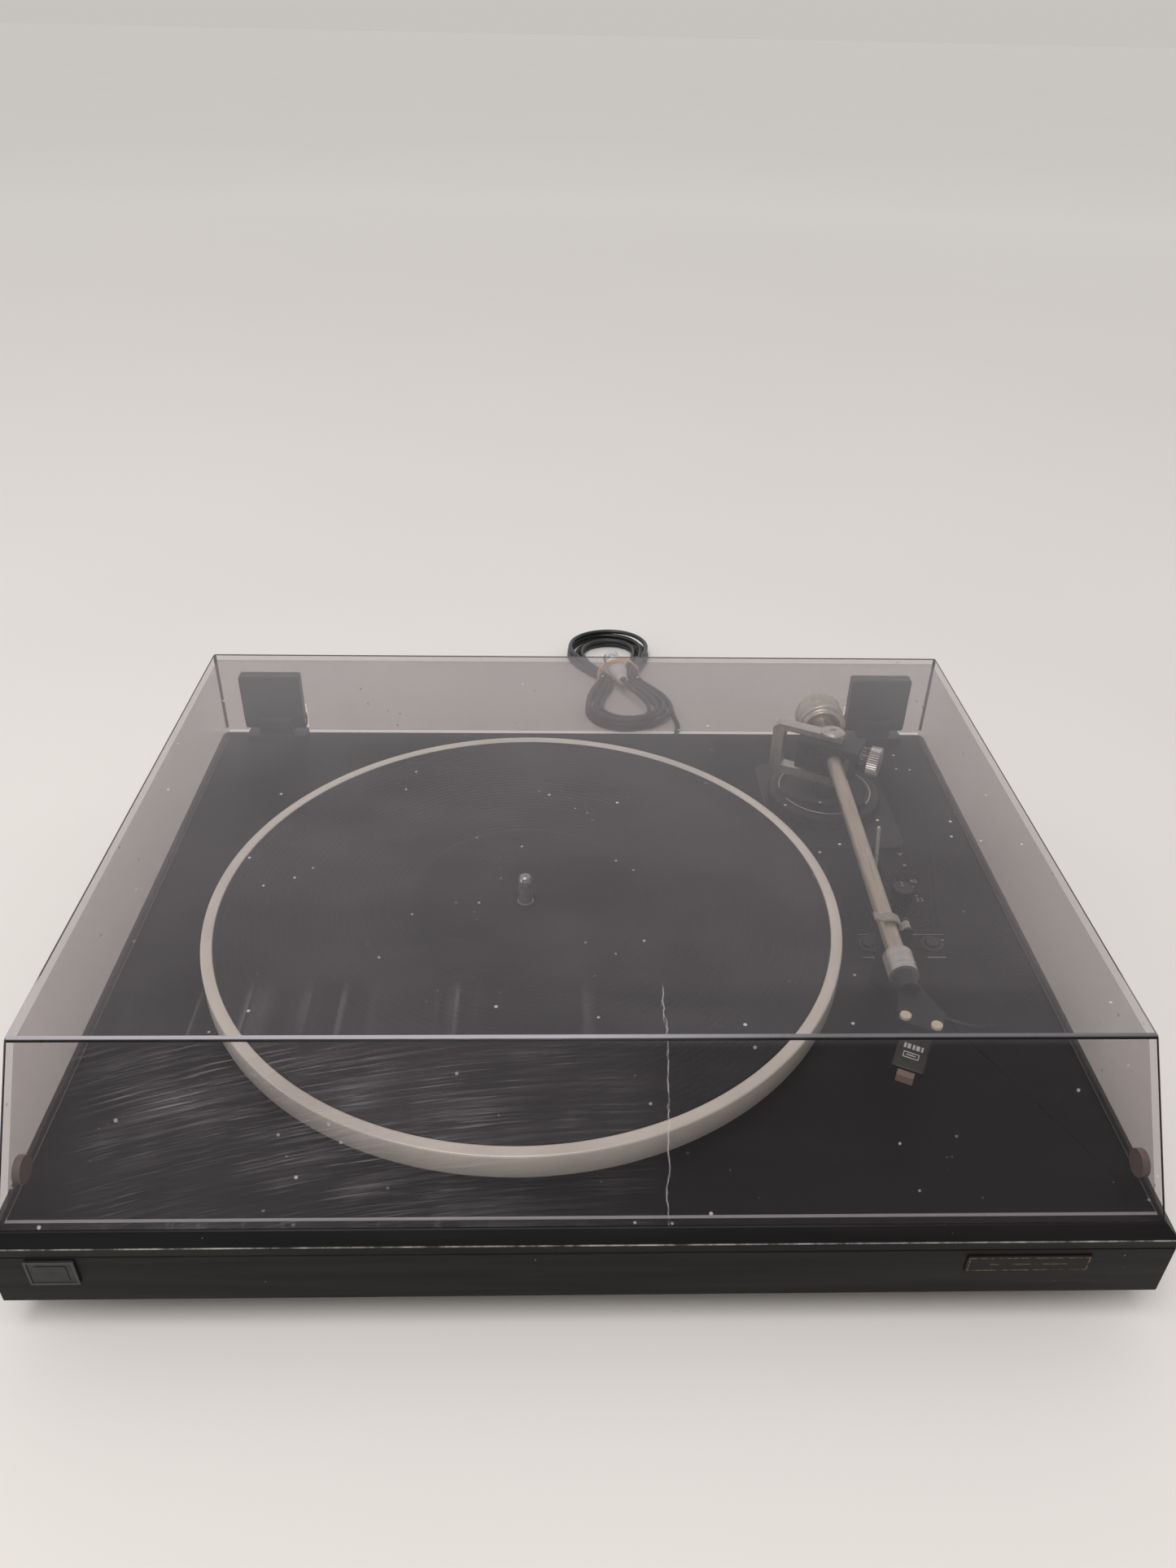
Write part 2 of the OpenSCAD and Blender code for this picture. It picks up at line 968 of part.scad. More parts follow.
module weight_shaft() {
    color("#a9a69f")
        arm_frame()
            rod_y(4, block_l, weight_y + weight_l + 8);
}

module counterweight() {
    color("#a19e97")
        arm_frame()
            difference() {
                union() {
                    rod_y(weight_r, weight_y, weight_y + weight_l - 6);
                    rod_y(weight_r - 0.8, weight_y, weight_y + weight_l - 5);
                    rod_y(weight_r, weight_y + weight_l - 5, weight_y + weight_l);
                    rod_y(weight_r - 3, weight_y, weight_y + weight_l + 5);
                }
                rod_y(4 + fit_gap, weight_y - 1, weight_y + weight_l + 6);
            }
}

// Post, open cradle and the pin that the clip turns on
module arm_rest() {
    post_x = 2;
    floor_z = -7.3;
    color("#26262a")
        arm_frame()
            translate([0, rest_y, 0]) {
                translate([post_x, 0, 0])
                    rod(4.5, -arm_h, floor_z - 2);
                translate([-7, -4, floor_z - 2])
                    cube([18, 8, 2]);
                translate([6.6, -4, floor_z - 2])
                    cube([4, 8, 7]);
                for (e = [-1, 1])
                    translate([rest_x, e * 3.4, 0]) {
                        rod_y(2, -0.6, 0.6);
                        translate([-2, -0.6, -4])
                            cube([4, 1.2, 4]);
                    }
                translate([rest_x, 0, 0])
                    rod_y(0.8, -3.4, 3.4);
            }
}

module rest_clip() {
    tab_deg = 120;
    color("#8d8780")
        arm_frame()
            translate([0, rest_y, 0])
                difference() {
                    union() {
                        along_y(clip_w)
                            union() {
                                difference() {
                                    circle(clip_out);
                                    circle(clip_in);
                                    polygon([
                                        [0, 0], 20 * [cos(tab_deg), sin(tab_deg)],
                                        [-20, -20], [20, -20], [20, -0.6], [0, -0.6]
                                    ]);
                                }
                                translate([clip_in + 0.4, -0.6])
                                    square([rest_x - clip_in, 1.2]);
                                polygon([
                                    clip_in * [cos(tab_deg), sin(tab_deg)],
                                    clip_out * [cos(tab_deg), sin(tab_deg)],
                                    [-6.6, 6.8], [-7.2, 5.8]
                                ]);
                            }
                        translate([rest_x, 0, 0])
                            rod_y(1.8, -clip_w / 2, clip_w / 2);
                    }
                    translate([rest_x, 0, 0])
                        rod_y(0.8 + fit_gap, -clip_w, clip_w);
                }
}

// ---------- cueing ----------

module lift_place() {
    arm_frame()
        translate(lift_r * [cos(lift_deg), sin(lift_deg)])
            children();
}

module cue_bush() {
    color("#2c2c2e")
        translate([0, 0, deck_z - arm_z])
            lift_place()
                pipe(4.5, 2 + fit_gap, 1.5, 20);
}

// Curved bar that lifts the arm anywhere in its swing
module cue_lift() {
    bar_top = -tube_r - gap - lift_drop;
    bar_h = 3;
    color("#333336") {
        arm_frame()
            translate([0, 0, bar_top - bar_h])
                rotate(-142)
                    rotate_extrude(angle = 72, $fn = fine)
                        translate([lift_r - 2.5, 0])
                            square([5, bar_h]);
        lift_place()
            rod(2, bar_top - bar_h - 20, bar_top - bar_h);
    }
}

module cue_lever() {
    color("#bdbab2")
        translate([lever_xy[0], lever_xy[1], lever_z]) {
            rotate([-lever_lean, 0, 0]) {
                rod(1.1, 0, 35);
                translate([0, 0, 35])
                    sphere(r = 1.1);
            }
            rod_x(3.6, -3, 3);
            rod_x(1.6, -6, 6);
        }
}

module lever_bracket() {
    ear_in = 3.3;
    color("#8b8b88")
        translate([lever_xy[0], lever_xy[1], 0])
            difference() {
                for (e = [-1, 1])
                    translate([e * (ear_in + 1.1) - 1.1, -5, lever_z - 4])
                        cube([2.2, 10, board_z - lever_z + 4]);
                translate([0, 0, lever_z])
                    rod_x(1.6 + fit_gap, -8, 8);
            }
}

module speed_knob() {
    knob_r = 5.2;
    color("#1f1f20")
        at(knob_xy) {
            translate([0, 0, deck_z + gap])
                linear_extrude(8)
                    ribbed(knob_r, 0.3, 30);
            rod(2, frame_z + 8.6, deck_z + gap);
        }
}

module button_cap() {
    cap_top = 1.8;
    foot_z = board_z - 5.5 + 2.1;
    color("#242426") {
        rod(3, board_z + 2, deck_z + cap_top);
        rod(1.5, foot_z, board_z + 2);
    }
}

module start_button() {
    at(start_xy)
        button_cap();
}

module stop_button() {
    at(stop_xy)
        button_cap();
}

// ---------- signal lead ----------

module hank_place() {
    at(hank_at, hank_z)
        rotate(hank_yaw)
            children();
}

module signal_lead() {
    color("#202022")
        swept(lead_pts, lead_r, lead_sides);
}

module plug_rod(extra) {
    at(plug_at, plug_z - hank_z)
        rotate(4)
            rod_y(plug_r + extra, -extra, plug_l + extra);
}

// Outer shape of the turns, drawn in at the waist by their band, with a bed for the plug
module lead_hank() {
    color("#202022")
        hank_place()
            difference() {
                linear_extrude(hank_h)
                    offset(delta = lead_r)
                        for (sx = [-1, 1])
                            for (sy = [-1, 1])
                                scale([sx, sy])
                                    polygon(concat([[0, 0]], hank_quarter));
                plug_rod(fit_gap);
            }
}

// Round plug lying on the hank
module signal_plug() {
    color("#d9d6d2")
        hank_place()
            plug_rod(0);
}

plinth_frame();
top_board();
base_board();
feet();
base_screws();
sub_chassis();
suspension_springs();
bearing_housing();
thrust_ball();
motor_body();
motor_bracket();
motor_grommets();
circuit_board();
control_switches();
mains_inlet();
lead_gland();
badge();
nameplate();
hinge_bases();
hinge_pins();
arm_base_plate();
arm_pillar();
gimbal_bracket();
pivot_nut();
arm_rest();
cue_bush();
drive_belt();
lever_bracket();
dust_cover();
hinge_leaves();
cover_bumpers();
platter();
platter_mat();
drive_disc();
spindle();
motor_pulley();
motor_shaft();
gimbal_yoke();
force_dial();
arm_tube();
bearing_block();
head_collar();
headshell();
finger_lift();
cartridge();
stylus();
head_screws();
weight_shaft();
counterweight();
side_force_ring();
cue_lever();
cue_lift();
speed_knob();
start_button();
stop_button();
rest_clip();
signal_lead();
lead_hank();
signal_plug();
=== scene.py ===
import json
from math import radians, sin, cos, pi, atan2

import bmesh
import bpy
from mathutils import Matrix, Vector


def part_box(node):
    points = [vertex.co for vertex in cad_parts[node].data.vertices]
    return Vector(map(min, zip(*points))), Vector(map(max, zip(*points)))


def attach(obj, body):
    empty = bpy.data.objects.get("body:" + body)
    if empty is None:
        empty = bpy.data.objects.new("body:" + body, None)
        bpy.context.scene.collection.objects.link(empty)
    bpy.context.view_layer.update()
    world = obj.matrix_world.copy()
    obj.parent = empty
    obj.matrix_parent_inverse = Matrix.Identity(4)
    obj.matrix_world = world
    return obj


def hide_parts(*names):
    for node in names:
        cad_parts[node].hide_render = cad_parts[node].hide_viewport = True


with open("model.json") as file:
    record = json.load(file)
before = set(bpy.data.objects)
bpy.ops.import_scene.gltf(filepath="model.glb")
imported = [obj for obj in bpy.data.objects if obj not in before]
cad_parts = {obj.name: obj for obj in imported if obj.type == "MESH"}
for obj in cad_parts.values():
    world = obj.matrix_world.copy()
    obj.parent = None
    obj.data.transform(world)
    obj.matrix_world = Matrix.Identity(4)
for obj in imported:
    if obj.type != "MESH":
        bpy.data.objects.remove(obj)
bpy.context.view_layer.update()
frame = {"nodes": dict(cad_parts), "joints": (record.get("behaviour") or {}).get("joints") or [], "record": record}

# Record player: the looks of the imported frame. Lengths are metres, but profiles, outlines, the lead's
# points and names that end in _mm are millimetres.
MM = 0.001
JOINT = {j["name"]: j for j in frame["joints"]}
NODE = frame["nodes"]

# ---------- camera, first ----------

CAM_EL, CAM_YAW, CAM_ROLL = radians(33.59), radians(1.94), radians(1.26)
CAM_AT = (-0.013, -0.4397, 0.4258)
LENS_MM, SENSOR_MM = 26.27, 36
look = Vector((sin(CAM_YAW) * cos(CAM_EL), cos(CAM_YAW) * cos(CAM_EL), -sin(CAM_EL)))
flat_right = look.cross(Vector((0, 0, 1))).normalized()
flat_up = flat_right.cross(look)
cam_x = cos(CAM_ROLL) * flat_right + sin(CAM_ROLL) * flat_up
cam_y = -sin(CAM_ROLL) * flat_right + cos(CAM_ROLL) * flat_up
cam_data = bpy.data.cameras.new("camera")
cam_data.lens = LENS_MM
cam_data.sensor_width = SENSOR_MM
cam_data.sensor_fit = "AUTO"
camera = bpy.data.objects.new("camera", cam_data)
turn = Matrix((cam_x, cam_y, -look)).transposed()
camera.matrix_world = Matrix.Translation(CAM_AT) @ turn.to_4x4()
bpy.context.scene.collection.objects.link(camera)
bpy.context.scene.camera = camera


# ---------- materials ----------

def lin(r, g, b):
    """Linear colour of an 8 bit one"""
    out = [c / 255 for c in (r, g, b)]
    return tuple(c / 12.92 if c < 0.04045 else ((c + 0.055) / 1.055) ** 2.4 for c in out) + (1,)


class Mat:
    """Principled material with short calls for the nodes around it"""

    def __init__(self, name, base, rough=0.5, metal=0.0, **sockets):
        self.mat = bpy.data.materials.new(name)
        self.mat.use_nodes = True
        self.nt = self.mat.node_tree
        self.shader = self.nt.nodes["Principled BSDF"]
        self.out = self.nt.nodes["Material Output"]
        self.shader.inputs["Base Color"].default_value = base
        self.shader.inputs["Roughness"].default_value = rough
        self.shader.inputs["Metallic"].default_value = metal
        for key, value in sockets.items():
            self.shader.inputs[key.replace("_", " ")].default_value = value
        self.base = base

    def node(self, kind, **props):
        made = self.nt.nodes.new(kind)
        for key, value in props.items():
            setattr(made, key, value)
        return made

    def put(self, value, socket):
        if isinstance(value, bpy.types.NodeSocket):
            self.nt.links.new(value, socket)
        else:
            socket.default_value = value

    def coords(self, scale=(1, 1, 1), rot=(0, 0, 0), at=(0, 0, 0)):
        mapping = self.node("ShaderNodeMapping")
        self.put(self.node("ShaderNodeTexCoord").outputs["Object"], mapping.inputs["Vector"])
        mapping.inputs["Scale"].default_value = scale
        mapping.inputs["Rotation"].default_value = rot
        mapping.inputs["Location"].default_value = at
        return mapping.outputs["Vector"]

    def noise(self, vector, scale, detail=4.0, rough=0.5, warp=0.0):
        tex = self.node("ShaderNodeTexNoise")
        self.put(vector, tex.inputs["Vector"])
        tex.inputs["Scale"].default_value = scale
        tex.inputs["Detail"].default_value = detail
        tex.inputs["Roughness"].default_value = rough
        tex.inputs["Distortion"].default_value = warp
        return tex.outputs["Fac"]

    def pair(self, a, b, scale_a, scale_b):
        """Vector of two values, each with its own scale"""
        made = self.node("ShaderNodeCombineXYZ")
        self.put(self.math("MULTIPLY", a, scale_a), made.inputs[0])
        self.put(self.math("MULTIPLY", b, scale_b), made.inputs[1])
        return made.outputs[0]

    def cells(self, vector, scale):
        tex = self.node("ShaderNodeTexVoronoi")
        self.put(vector, tex.inputs["Vector"])
        tex.inputs["Scale"].default_value = scale
        return tex

    def dust(self, cells, dot, patches, low, high):
        """Dots, one to a cell, only where a coarser noise is over a level"""
        spot = self.span(self.cells(self.coords(), cells).outputs["Distance"], dot, dot + 0.04, 1, 0)
        return self.math("MULTIPLY", spot, self.span(self.noise(self.coords(), patches, 2), low, high))

    def math(self, op, a, b=0.0, clamp=False):
        made = self.node("ShaderNodeMath", operation=op, use_clamp=clamp)
        self.put(a, made.inputs[0])
        self.put(b, made.inputs[1])
        return made.outputs[0]

    def span(self, value, low, high, to_low=0.0, to_high=1.0):
        made = self.node("ShaderNodeMapRange", clamp=True)
        self.put(value, made.inputs["Value"])
        made.inputs["From Min"].default_value = low
        made.inputs["From Max"].default_value = high
        made.inputs["To Min"].default_value = to_low
        made.inputs["To Max"].default_value = to_high
        return made.outputs["Result"]

    def near(self, value, middle, half):
        """1 at middle, 0 at half away from it"""
        return self.span(self.math("ABSOLUTE", self.math("SUBTRACT", value, middle)), 0, half, 1, 0)

    def mix(self, fac, a, b):
        made = self.node("ShaderNodeMix", data_type="RGBA")
        self.put(fac, made.inputs["Factor"])
        self.put(a, made.inputs["A"])
        self.put(b, made.inputs["B"])
        return made.outputs["Result"]

    def axes(self):
        made = self.node("ShaderNodeSeparateXYZ")
        self.put(self.node("ShaderNodeTexCoord").outputs["Object"], made.inputs[0])
        return made.outputs["X"], made.outputs["Y"], made.outputs["Z"]

    def color(self, value):
        self.put(value, self.shader.inputs["Base Color"])

    def rough(self, value):
        self.put(value, self.shader.inputs["Roughness"])

    def bump(self, height, distance, strength=1.0):
        made = self.node("ShaderNodeBump")
        made.inputs["Distance"].default_value = distance
        made.inputs["Strength"].default_value = strength
        self.put(height, made.inputs["Height"])
        old = self.shader.inputs["Normal"]
        if old.is_linked:
            self.put(old.links[0].from_socket, made.inputs["Normal"])
        self.put(made.outputs["Normal"], old)


def grain(m, low, high, light):
    """Stained open-pored wood, with the pores along X"""
    stretch = (9, 210, 210)
    fine = m.noise(m.coords(stretch), 1.0, 3, 0.55, 0.4)
    broad = m.noise(m.coords(tuple(s / 7 for s in stretch)), 1.0, 3, 0.5, 1.2)
    pores = m.span(fine, 0.36, 0.66)
    tone = m.mix(pores, low, high)
    tone = m.mix(m.span(broad, 0.45, 0.75, 0, 0.5), tone, light)
    m.rough(m.span(fine, 0.3, 0.7, 0.48, 0.4))
    m.bump(fine, 0.00006, 0.15)
    return tone


def mottled(m, amount=0.25, scale=40, lift=1.6):
    """Slight change of tone over the surface"""
    other = tuple(min(1, c * lift) for c in m.base[:3]) + (1,)
    m.color(m.mix(m.math("MULTIPLY", m.noise(m.coords(), scale, 5), amount), m.base, other))


def moulded(name, base, rough=0.45, pit=900, depth=0.00005, **sockets):
    m = Mat(name, base, rough, **sockets)
    mottled(m, 0.5)
    m.bump(m.noise(m.coords(), pit, 2), depth, 0.6)
    m.rough(m.span(m.noise(m.coords(), 120, 4), 0.3, 0.7, rough - 0.07, rough + 0.1))
    return m


def brushed(name, base, rough, scale=(60, 60, 1400), dark=0.75):
    m = Mat(name, base, rough, 0.85)
    lines = m.noise(m.coords(scale), 1.0, 4, 0.6)
    low = tuple(c * dark for c in base[:3]) + (1,)
    m.color(m.mix(m.span(lines, 0.3, 0.7), low, base))
    m.rough(m.span(lines, 0.3, 0.7, rough - 0.06, rough + 0.1))
    m.bump(lines, 0.00002, 0.5)
    return m


def knurled(name, base, joint, ribs):
    """Brushed metal with ribs round a joint's axis, and painted shade between the ribs"""
    m = brushed(name, base, 0.34, (90, 900, 90))
    pos = Vector(JOINT[joint]["pos_m"])
    axis = Vector(JOINT[joint]["axis"]).normalized()
    side = axis.cross(Vector((0, 0, 1))).normalized()
    up = side.cross(axis)
    away = [m.math("SUBTRACT", value, at) for value, at in zip(m.axes(), pos)]

    def along(line):
        parts = [m.math("MULTIPLY", value, part) for value, part in zip(away, line)]
        return m.math("ADD", m.math("ADD", parts[0], parts[1]), parts[2])

    v, w = along(up), along(side)
    wave = m.math("SINE", m.math("MULTIPLY", m.math("ARCTAN2", v, w), float(ribs)))
    radius = m.math("SQRT", m.math("ADD", m.math("MULTIPLY", v, v), m.math("MULTIPLY", w, w)))
    rib_height_and_shade = m.math("MULTIPLY", m.span(wave, -0.4, 0.4), m.span(radius, 0.0052, 0.0056))
    # painted shade: darker colour between the ribs, and nearer the axis than the ribs
    m.color(m.mix(rib_height_and_shade, lin(158, 154, 150), base))
    m.bump(rib_height_and_shade, 0.0003, 0.6)
    return m


def radius_from(m, centre):
    x, y, _ = m.axes()
    dx = m.math("SUBTRACT", x, centre[0])
    dy = m.math("SUBTRACT", y, centre[1])
    return m.math("SQRT", m.math("ADD", m.math("MULTIPLY", dx, dx), m.math("MULTIPLY", dy, dy)))


def stained_wood():
    m = Mat("veneer", lin(14, 13, 14), 0.42, Specular_IOR_Level=0.16)
    tone = grain(m, lin(6, 5, 6), lin(19, 18, 19), lin(30, 28, 29))
    _, y, z = m.axes()
    # the stain has rubbed off along the lower edge of the front bevel
    rubbed = m.noise(m.coords((70, 1, 1)), 1.0, 5, 0.75)
    line = m.math("MULTIPLY", m.near(z, 0.0494, 0.0004), m.span(y, -0.1805, -0.1812))
    chips = m.math("MULTIPLY", line, m.span(rubbed, 0.4, 0.62, 0.12, 1))
    tone = m.mix(m.math("MULTIPLY", chips, 0.85), tone, lin(196, 192, 186))
    dust = m.math("MULTIPLY", m.dust(300, 0.05, 60, 0.62, 0.66), 0.7)
    m.color(m.mix(dust, tone, lin(205, 200, 190)))
    return m


def turned_metal():
    m = Mat("platter_metal", lin(240, 236, 228), 0.36, 0.15)
    centre = JOINT["platter_spin"]["pos_m"]
    ring = m.node("ShaderNodeTexNoise", noise_dimensions="1D")
    m.put(m.math("MULTIPLY", radius_from(m, centre), 5200), ring.inputs["W"])
    ring.inputs["Detail"].default_value = 3
    m.rough(m.span(ring.outputs["Fac"], 0.3, 0.7, 0.26, 0.38))
    m.bump(ring.outputs["Fac"], 0.00001, 0.5)
    dull = m.noise(m.coords(), 14, 5)
    m.color(m.mix(m.span(dull, 0.42, 0.68), lin(246, 241, 230), lin(226, 221, 212)))
    return m


def record_mat():
    m = Mat("mat_rubber", lin(34, 33, 35), 0.62, Specular_IOR_Level=0.35)
    worn = m.span(m.noise(m.coords((1, 3, 1), (0, 0, 0.3)), 16, 5), 0.4, 0.7)
    tone = m.mix(worn, lin(30, 29, 31), lin(46, 44, 46))
    dust = m.math("MULTIPLY", m.dust(170, 0.04, 40, 0.6, 0.64), 0.6)
    m.color(m.mix(dust, tone, lin(190, 188, 184)))
    m.bump(m.noise(m.coords(), 900, 2), 0.00002, 0.3)
    return m


def wipe_marks(m, front):
    """Fine curved scratches on the left of the front pane"""
    x, _, z = m.axes()
    off = m.math("ADD", x, 0.02)
    bow = m.math("MULTIPLY", m.math("MULTIPLY", off, off), 0.5)
    level = m.math("SUBTRACT", z, m.math("SUBTRACT", m.math("MULTIPLY", x, 0.05), bow))
    left = m.math("MULTIPLY", m.span(x, 0.03, -0.06), m.span(x, -0.2, -0.15))
    patch = m.span(m.noise(m.coords(), 16, 3), 0.34, 0.6)
    where = m.math("MULTIPLY", m.math("MULTIPLY", left, front), patch)
    coarse = m.span(m.noise(m.pair(x, level, 16, 520), 1.0, 3, 0.65), 0.52, 0.72)
    hair = m.span(m.noise(m.pair(x, level, 30, 1500), 1.0, 2, 0.6), 0.58, 0.7)
    return m.math("MULTIPLY", m.math("MAXIMUM", m.math("MULTIPLY", coarse, 0.5), hair), where)


def hairlines(m):
    """Sparse straight scratches over the whole cover"""
    hairs = m.noise(m.coords((9, 330, 9), (0, 0, radians(-21))), 1.0, 1, 0.5, 0.4)
    some = m.span(m.noise(m.coords(), 22, 3), 0.56, 0.68)
    return m.math("MULTIPLY", m.span(hairs, 0.72, 0.8), some)


def crack_line(m):
    """One crack from the front pane's lower edge up into the top"""
    crack_x, half_width = 0.0265, 0.0003
    x, y, _ = m.axes()
    wander = m.noise(m.coords((0, 60, 60)), 1.0, 5, 0.6)
    path = m.math("ADD", m.math("MULTIPLY", wander, 0.006), crack_x)
    line = m.near(m.math("SUBTRACT", x, path), 0, half_width)
    line = m.math("MULTIPLY", line, m.span(y, -0.105, -0.109))
    return m.math("MULTIPLY", line, m.span(m.noise(m.coords(), 160, 3), 0.36, 0.55))


def reflection_and_dust(m, painted_veil):
    """How much of the sheet a pale veil hides: a painted reflection of a pale wall and ceiling, stronger towards
    the back, and real scratches, the crack and dust
    """
    x, y, z = m.axes()
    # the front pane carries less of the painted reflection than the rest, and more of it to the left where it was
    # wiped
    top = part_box("dust_cover")[1].z
    front = m.math("MULTIPLY", m.span(z, top - 0.001, top - 0.003), m.span(y, -0.1, -0.11))
    clear_share = m.math("MULTIPLY", front, m.span(x, -0.06, 0.04, 0.45, 0.85))
    # pale veil painted as the reflection of a pale wall and ceiling, stronger towards the back
    painted_reflection = m.span(m.noise(m.coords(), 9, 5, 0.6), 0.35, 0.75, painted_veil * 0.7, painted_veil * 1.35)
    painted_reflection = m.math("MULTIPLY", painted_reflection, m.math("SUBTRACT", 1.0, clear_share))
    painted_reflection = m.math("MULTIPLY", painted_reflection, m.span(y, -0.1, 0.17, 1, 1.7))
    dust = m.dust(95, 0.05, 33, 0.55, 0.6)
    marks = m.math("MULTIPLY", wipe_marks(m, front), 0.26)
    for mark, weight in ((hairlines(m), 0.1), (crack_line(m), 0.5), (dust, 0.6)):
        marks = m.math("ADD", marks, m.math("MULTIPLY", mark, weight))
    return m.math("ADD", painted_reflection, marks, clamp=True)


def acrylic(name, tint, painted_veil):
    """Smoked sheet: tinted see-through, a mirror-like skin, a pale veil that paints the reflection of a pale wall
    and ceiling, and a little dust and scuffing
    """
    m = Mat(name, tint)
    m.nt.nodes.remove(m.shader)
    clear = m.node("ShaderNodeBsdfTransparent")
    clear.inputs["Color"].default_value = tint
    skin = m.node("ShaderNodeBsdfGlossy")
    m.put(m.span(m.noise(m.coords(), 30, 4), 0.3, 0.7, 0.13, 0.2), skin.inputs["Roughness"])
    # diffuse pale mauve veil that paints the reflection of a pale wall and ceiling, and carries the dust and
    # scratches
    reflection_and_dust_bsdf = m.node("ShaderNodeBsdfDiffuse")
    reflection_and_dust_bsdf.inputs["Color"].default_value = lin(196, 190, 196)
    # the same mirror share from either side of a sheet that doesn't bend the view
    facing = m.node("ShaderNodeLayerWeight").outputs["Facing"]
    mirror = m.span(m.math("POWER", facing, 5), 0, 1, 0.018, 0.5)

    def blended(share, under, over):
        mixed = m.node("ShaderNodeMixShader")
        for value, socket in zip((share, under.outputs[0], over.outputs[0]), mixed.inputs):
            m.put(value, socket)
        return mixed

    whole = blended(reflection_and_dust(m, painted_veil), blended(mirror, clear, skin), reflection_and_dust_bsdf)
    m.put(whole.outputs[0], m.out.inputs["Surface"])
    return m


def nameplate_look():
    """Dark plate with a thin gilt line round it, and no lettering"""
    m = Mat("nameplate_dark", lin(18, 16, 14), 0.5, Specular_IOR_Level=0.2)
    low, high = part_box("nameplate")
    mid, half = (low + high) / 2, (high - low) / 2
    x, _, z = m.axes()
    from_end = m.math("SUBTRACT", half.x, m.math("ABSOLUTE", m.math("SUBTRACT", x, mid.x)))
    from_top = m.math("SUBTRACT", half.z, m.math("ABSOLUTE", m.math("SUBTRACT", z, mid.z)))
    edge = m.math("MINIMUM", from_end, from_top)
    line = m.near(edge, 0.0011, 0.00035)
    stripe = m.math("MULTIPLY", m.near(z, mid.z, 0.0003), m.span(from_end, 0.009, 0.0095))
    worn = m.span(m.noise(m.coords(), 420, 3), 0.4, 0.62)
    gilt = m.math("MULTIPLY", m.math("MAXIMUM", line, stripe), worn)
    m.color(m.mix(gilt, lin(18, 16, 14), lin(128, 108, 72)))
    m.bump(gilt, 0.0001, 0.5)
    return m


def edge_with_painted_highlight():
    """Cut edge of the smoked sheet: dark, with a painted highlight line where it meets the top, brighter to the
    left
    """
    m = moulded("dark_edge", lin(13, 12, 14), 0.3, 600, 0.00001, Specular_IOR_Level=0.25)
    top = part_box("dust_cover")[1].z
    x, y, z = m.axes()
    # painted highlight along the top edge at the front, brighter to the left
    line = m.math("MULTIPLY", m.span(z, top - 0.0005, top - 0.0003), m.span(y, -0.1, -0.105))
    line = m.math("MULTIPLY", line, m.span(x, 0, 0.09, 0.8, 0.3))
    m.color(m.mix(line, lin(13, 12, 14), lin(172, 168, 174)))
    return m


MATS = {
    "veneer": stained_wood(),
    "board": moulded("board", lin(70, 55, 42), 0.7, 500, 0.0002),
    "black_plastic": moulded("black_plastic", lin(27, 27, 29), 0.42),
    "rubber": moulded("rubber", lin(30, 29, 29), 0.7, 700, 0.00008),
    "mat_rubber": record_mat(),
    "steel": brushed("steel", lin(190, 190, 192), 0.3),
    "silver": brushed("silver", lin(226, 224, 218), 0.34, (90, 900, 90)),
    "platter_metal": turned_metal(),
    "tube_metal": brushed("tube_metal", lin(222, 214, 198), 0.38, (900, 60, 900)),
    "brass": brushed("brass", lin(128, 112, 78), 0.45),
    "black_metal": moulded("black_metal", lin(34, 34, 36), 0.36, 1200, 0.00003, Metallic=0.4),
    # the last number sets how much pale veil paints the reflection of a pale wall and ceiling
    "smoked_acrylic": acrylic("smoked_acrylic", (0.83, 0.812, 0.81, 1), 0.044),
    "amber_rubber": moulded("amber_rubber", lin(112, 98, 92), 0.5, 500, 0.00008),
    "clear_clip": moulded("clear_clip", lin(168, 162, 152), 0.25, 600, 0.00003, Alpha=0.75),
    "stylus_plastic": moulded("stylus_plastic", lin(150, 128, 120), 0.22, 600, 0.00003, Alpha=0.8),
    "cream": moulded("cream", lin(206, 198, 176), 0.4),
    "board_green": moulded("board_green", lin(52, 92, 62), 0.5),
    "badge_dark": moulded("badge_dark", lin(22, 21, 23), 0.5),
    "nameplate_dark": nameplate_look(),
    "lead_black": moulded("lead_black", lin(30, 31, 34), 0.38, 400, 0.00006),
    "plug_white": moulded("plug_white", lin(212, 208, 204), 0.36),
    "knurled_dial": knurled("knurled_dial", lin(236, 232, 228), "force_dial_turn", 40),
    "mark": moulded("mark", lin(128, 126, 122), 0.6),
    "pale_mark": moulded("pale_mark", lin(200, 200, 202), 0.5),
    "band": moulded("band", lin(196, 160, 128), 0.55, 300, 0.0001),
    "dark_edge": edge_with_painted_highlight(),
    # pale colour painted as light glowing through the cover's cut edge
    "painted_glow_edge": moulded("painted_glow_edge", lin(150, 146, 152), 0.3, 500, 0.00002, Alpha=0.7),
    "badge_rim": moulded("badge_rim", lin(44, 45, 43), 0.5),
}


# ---------- geometry helpers ----------

def link(name, mesh, mats):
    made = bpy.data.objects.new(name, mesh)
    bpy.context.scene.collection.objects.link(made)
    for key in [mats] if isinstance(mats, str) else mats:
        mesh.materials.append(MATS[key].mat)
    mesh.shade_smooth()
    return made


def mesh_of(name, verts, faces, mats, place):
    """Object from points and faces, with every face turned outward"""
    mesh = bpy.data.meshes.new(name)
    mesh.from_pydata([place @ Vector(v) for v in verts], [], faces)
    made = link(name, mesh, mats)
    turned = bmesh.new()
    turned.from_mesh(mesh)
    bmesh.ops.recalc_face_normals(turned, faces=turned.faces)
    turned.to_mesh(mesh)
    turned.free()
    return made


def bevelled(made, width, weld=False):
    """Rounds the sharp edges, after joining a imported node's loose triangles"""
    if weld:
        made.modifiers.new("weld", "WELD").merge_threshold = 1e-6
    bevel = made.modifiers.new("bevel", "BEVEL")
    bevel.width = width
    bevel.segments = 2
    bevel.limit_method = "ANGLE"
    bevel.angle_limit = radians(32)
    bevel.harden_normals = True
    return made


